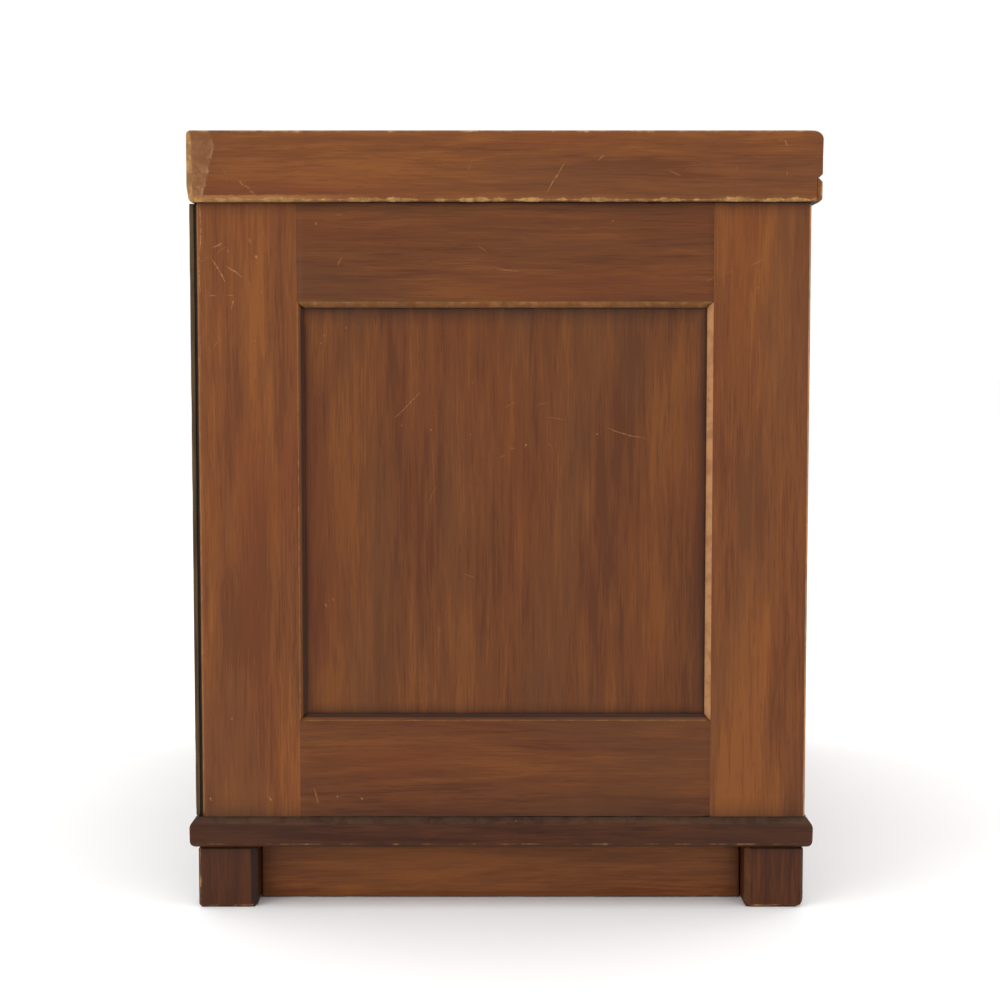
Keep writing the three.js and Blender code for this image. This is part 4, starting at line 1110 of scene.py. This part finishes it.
PANEL_SCRATCHES = [
    (80, 477, 103, 453, 1.4, 0.36),
    (-90, 444, -127, 434, 1.3, 0.3),
    (-36, 454, -54, 451, 1.0, 0.22),
    (3, 462, -7, 467, 1.1, 0.22),
    (-26, 464, -35, 467, 1.1, 0.22),
    (9, 416, 3, 419, 1.2, 0.24),
    (0, 425, -6, 425, 1.3, 0.24),
    (-15, 426, -17, 429, 1.8, 0.42),
    (-36, 430, -41, 426, 1.2, 0.26),
    (42, 310, 30, 306, 1.2, 0.24),
    (74, 372, 66, 390, 1.0, 0.16),
    # dents
    (33, 486, 32, 484, 1.7, 0.28),
    (68, 456, 67, 454, 1.8, 0.3),
    (71, 443, 70, 441, 1.6, 0.28),
    (35, 439, 34, 437, 1.6, 0.3),
    (98, 447, 97, 445, 1.5, 0.24),
    (-81, 439, -82, 437, 1.6, 0.28),
    (168, 529, 167, 527, 2.2, 0.2),
    (171, 522, 170, 520, 2.2, 0.2),
    (148, 536, 147, 534, 1.8, 0.2),
    (169, 283, 167, 279, 2.4, 0.28),
    (162, 287, 160, 285, 2.0, 0.24),
    (64, 260, 62, 256, 2.4, 0.28),
]
LID_SCRATCHES = [
    (258, 681, 251, 666, 1.1, 0.24),
    (36, 676, 32, 684, 1.1, 0.26),
    (-32, 652, -51, 683, 1.6, 0.38),
    (-80, 684, -86, 689, 1.5, 0.34),
    (-144, 675, -155, 670, 1.3, 0.28),
    (-248, 702, -250, 696, 1.5, 0.38),
    (-250, 675, -250, 671, 1.3, 0.3),
    (-205, 679, -205, 675, 1.1, 0.2),
    # a chip and dents by the back corner
    (279, 660, 271, 661, 2.2, 0.6),
    (271, 661, 272, 664, 1.6, 0.5),
    (241, 666, 238, 662, 2.4, 0.3),
    (237, 662, 232, 659, 2.2, 0.26),
    (232, 657, 228, 655, 2.2, 0.3),
]


def add_sliver(bm, depth_layer, rng, stroke, face):
    """One scratch: a slim, slightly wandering sliver let into the face, pointed at both ends."""
    y0, z0, y1, z1, width, pale = stroke
    start, end = Vector((0, y0, z0)) * MM, Vector((0, y1, z1)) * MM
    run = end - start
    across = Vector((0, -run.z, run.y)).normalized()
    steps = max(6, round(run.length / (1.5 * MM)))
    bow = rng.uniform(-0.04, 0.04) * run.length
    shift = Vector([rng.uniform(0, 9) for _ in range(3)])
    rings = []
    for i in range(steps + 1):
        share = i / steps
        spot = start + run * share
        wander = 0.5 * MM * noise.noise(spot * 160 + shift)
        spot += across * (bow * math.sin(math.pi * share) + wander)
        swell = math.sin(math.pi * min(0.97, max(0.03, share))) ** 0.5
        half = 0.5 * width * MM * swell * (0.65 + 0.6 * abs(noise.noise(spot * 420 + shift)))
        ring = []
        for side in (-1, 1):
            for x in (face - PROUD, face + 0.4 * MM):
                vert = bm.verts.new(Vector((x, 0, 0)) + spot + across * side * half)
                vert[depth_layer] = pale * (0.75 + 0.5 * abs(noise.noise(spot * 300)))
                ring.append(vert)
        rings.append([ring[0], ring[1], ring[3], ring[2]])
    skin(bm, rings)


def scratches(name, strokes, face, body, stained):
    bm = bmesh.new()
    depth_layer = bm.verts.layers.float.new("depth")
    rng = random.Random(name)
    for stroke in strokes:
        add_sliver(bm, depth_layer, rng, stroke, face)
    metal_piece(name, bm, body, material=scratched(name + " wood", stained))


def left_end_scratches():
    for place, strokes, node, stained, behind in (
        ("end_left_frame", FRAME_SCRATCHES, "end_left_rail_top", FRAME_MID, 0),
        ("end_left_panel", PANEL_SCRATCHES, "end_left_panel", PANEL_MID, 0),
        ("lid_end_left", LID_SCRATCHES, "lid_end_left", LID_MID, SET_BACK * MM),
    ):
        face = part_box(node)[0].x + behind
        scratches(place + "_scratches", strokes, face, body_of[node], stained)


# ---- stage, lights and camera


def stage():
    graph = Graph("pale floor")
    speckle = graph.noise(graph.place(), 3, detail=3.0)
    colour = graph.ramp(speckle, (0.3, (0.96, 0.96, 0.96, 1)), (0.7, (0.98, 0.98, 0.98, 1)))
    material = graph.finish(colour, 0.7)
    bm = bmesh.new()
    bmesh.ops.create_grid(bm, x_segments=8, y_segments=8, size=60)
    mesh = bpy.data.meshes.new("floor")
    bm.to_mesh(mesh)
    bm.free()
    mesh.materials.append(material)
    floor = bpy.data.objects.new("floor", mesh)
    scene.collection.objects.link(floor)

    world = bpy.data.worlds.new("studio")
    scene.world = world
    world.use_nodes = True
    background = world.node_tree.nodes["Background"]
    background.inputs["Color"].default_value = (1, 1, 1, 1)
    background.inputs["Strength"].default_value = 1.03


def aim(thing, place, way):
    """Puts a lamp or the camera at a place, looking along a direction."""
    scene.collection.objects.link(thing)
    thing.location = place
    thing.rotation_mode = "QUATERNION"
    thing.rotation_quaternion = way.to_track_quat("-Z", "Y")


def softbox(name, place, target, size, power):
    light = bpy.data.lights.new(name, "AREA")
    light.shape = "RECTANGLE"
    light.size, light.size_y = size
    light.energy = power
    aim(bpy.data.objects.new(name, light), place, Vector(target) - Vector(place))


def lights():
    middle = (0, 0, 0.4)
    for name, place, target, size, power in (
        ("overhead", (0, 0, 3.2), (0, 0, 0), (4.0, 4.0), 40),
        ("key", (-2.6, 2.2, 1.5), middle, (1.6, 1.6), 22),
        ("front_fill", (1.6, -3.2, 1.8), middle, (2.2, 2.0), 14),
        ("back_fill", (2.2, 3.0, 1.9), middle, (2.2, 2.0), 12),
        ("camera_fill", (-3.4, -1.4, 1.2), middle, (2.0, 2.0), 6),
    ):
        softbox(name, place, target, size, power)


def camera():
    """One end of the chest, seen square on from a little above."""
    distance, aside, height = 1.731, 0.0074, 0.503
    pitch = math.radians(4.12)
    lens = bpy.data.cameras.new("camera")
    lens.sensor_width = 36
    lens.lens = 68.5
    eye = bpy.data.objects.new("camera", lens)
    place = (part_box("end_left_stile_back")[0].x - distance, aside, height)
    aim(eye, place, Vector((math.cos(pitch), 0, -math.sin(pitch))))
    scene.camera = eye


# ---- assembly

end_frames()
front_frame()
back_of_case()
base()
lid()
inside_wood()
plain_nodes()
hinges()
lid_pull()
knob()
back_nails()
lining_sheet()
liner_nails()
liner_seams()
left_end_scratches()
stage()
lights()
camera()
